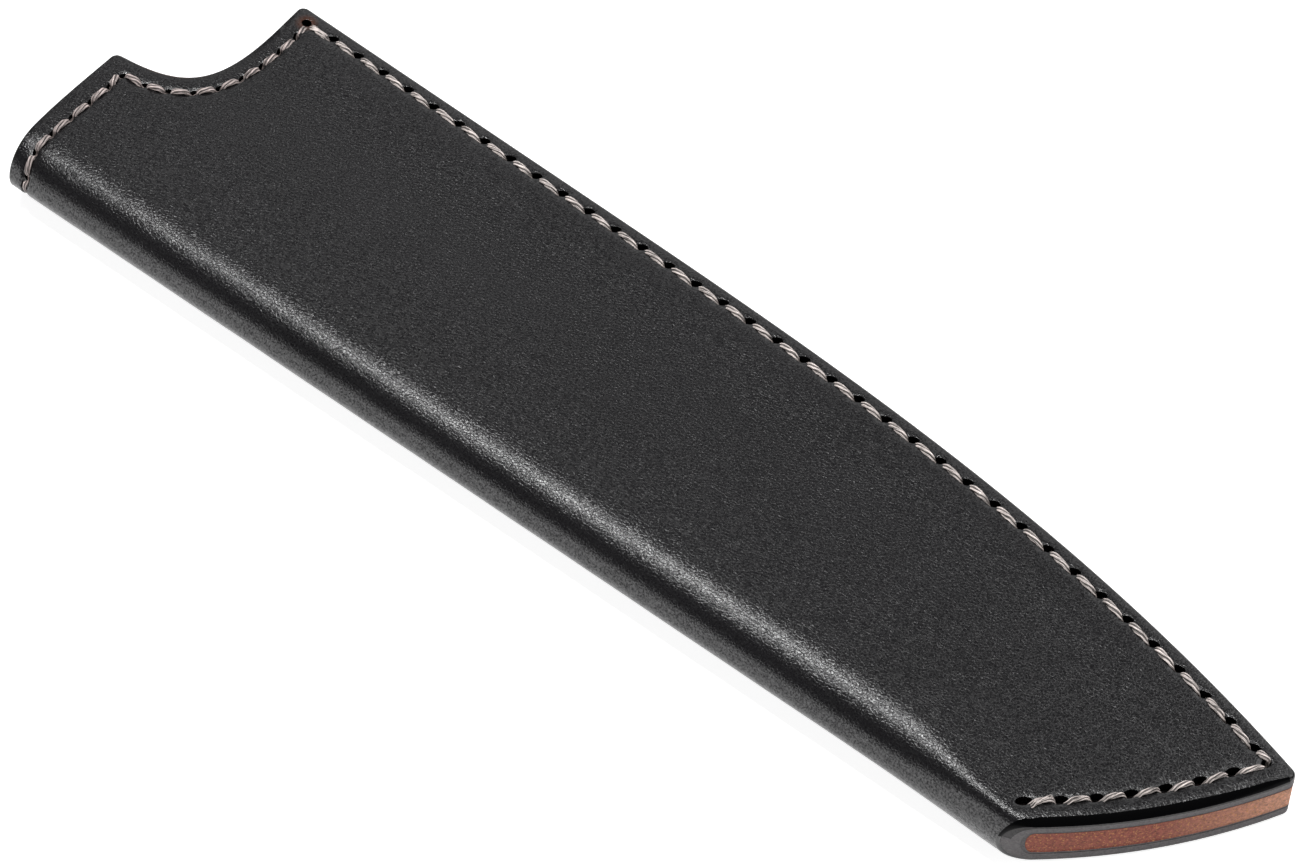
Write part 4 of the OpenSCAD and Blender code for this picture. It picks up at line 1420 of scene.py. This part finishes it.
def make_lamps(context, stage):
    """A long softbox nearly overhead, a high fill lamp, three cards and an even white surround.
    Each lamp has a way to it from the guard, a width and height, the axis that its width follows,
    and a power."""
    lamps = (
        ("softbox", (-0.27, 0.095, 0.95), (0.7, 0.09), "X", stage.softbox),
        ("fill", (0.35, 0.6, 0.72), (0.9, 0.9), "X", stage.fill),
        ("front_card", (-0.4, -0.88, 0.27), (0.54, 1.4), "Z", stage.cards * 1.04),
        ("side_card", (0.95, -0.1, 0.25), (0.4, 1.2), "Z", stage.cards * 0.5),
        ("back_card", (-0.38, 0.8, 0.52), (0.72, 1.2), "Z", stage.cards * 0.46))
    for name, way, (width, height), up, power in lamps:
        light = bpy.data.lights.new(name, "AREA")
        light.shape = "RECTANGLE"
        light.size, light.size_y = width, height
        light.energy = power
        lamp = bpy.data.objects.new(name, light)
        back = Vector(way).normalized()
        side = Vector((1, 0, 0)) if up == "X" else Vector((0, 0, 1))
        side = (side - back * side.dot(back)).normalized()
        lamp.matrix_world = Matrix((side, back.cross(side), back)).transposed().to_4x4()
        lamp.location = back * LAMPS_AWAY
        context.scene.collection.objects.link(lamp)
    world = bpy.data.worlds.new("even_surround")
    context.scene.world = world
    world.use_nodes = True
    backdrop = world.node_tree.nodes["Background"]
    backdrop.inputs["Color"].default_value = (1, 1, 1, 1)
    path = add_node(world, "LightPath")
    seen = add_node(world, "MapRange", {"To Min": stage.sky, "To Max": 1.0}, {
        "Value": (path, "Is Camera Ray")})
    world.node_tree.links.new(seen.outputs["Result"], backdrop.inputs["Strength"])


def make_camera(context, stage):
    """The camera at the photograph's angle."""
    a, e, r = stage.azimuth, stage.elevation, stage.roll
    back = Vector((math.sin(a) * math.cos(e), -math.cos(a) * math.cos(e), math.sin(e)))
    right = Vector((math.cos(a), math.sin(a), 0))
    up = back.cross(right)
    rolled_right = right * math.cos(r) + up * math.sin(r)
    rolled_up = up * math.cos(r) - right * math.sin(r)
    data = bpy.data.cameras.new("camera")
    data.lens = stage.lens
    data.sensor_width = 36
    data.sensor_fit = "HORIZONTAL"
    data.clip_start = 0.01
    camera = bpy.data.objects.new("camera", data)
    place = Matrix((rolled_right, rolled_up, back)).transposed().to_4x4()
    place.translation = Vector((stage.target_x, stage.target_y, 0)) + back * stage.distance
    camera.matrix_world = place
    context.scene.collection.objects.link(camera)
    context.scene.camera = camera


class BladeGuard(bpy.types.PropertyGroup):
    """Everything about the guard that can be changed."""

    sizes: PointerProperty(type=GuardSizes, name="Sizes", description="Sizes of the folded leather")
    seams: PointerProperty(type=SeamSizes, name="Seams", description="Sizes of the seams and the thread")
    colours: PointerProperty(type=GuardColours, name="Colours", description="Colours of the materials")
    stage: PointerProperty(type=StageSettings, name="Stage", description="Camera, lamps and floor")


OPERATORS = (GUARD_OT_cover, GUARD_OT_lining, GUARD_OT_welt, GUARD_OT_threads, GUARD_OT_stage)


class GUARD_PT_panel(bpy.types.Panel):
    """Lists the guard's pieces and its settings"""

    bl_idname = "GUARD_PT_panel"
    bl_label = "Blade guard"
    bl_space_type = "VIEW_3D"
    bl_region_type = "UI"
    bl_category = "Blade guard"

    def draw(self, context):
        layout = self.layout
        for operator in OPERATORS:
            layout.operator(operator.bl_idname)
        guard = settings_of(context)
        for group in (guard.sizes, guard.seams, guard.colours, guard.stage):
            box = layout.box()
            for name in group.__annotations__:
                box.prop(group, name)


CLASSES = (GuardSizes, SeamSizes, GuardColours, StageSettings, BladeGuard, *OPERATORS, GUARD_PT_panel)


def register():
    for item in CLASSES:
        bpy.utils.register_class(item)
    bpy.types.Scene.blade_guard = PointerProperty(type=BladeGuard)


def unregister():
    del bpy.types.Scene.blade_guard
    for item in reversed(CLASSES):
        bpy.utils.unregister_class(item)


def main():
    """Makes every piece and the stage."""
    register()
    bpy.ops.blade_guard.stage()
    bpy.ops.blade_guard.cover()
    bpy.ops.blade_guard.lining()
    bpy.ops.blade_guard.welt()
    bpy.ops.blade_guard.threads()


if __name__ == "__main__":
    main()
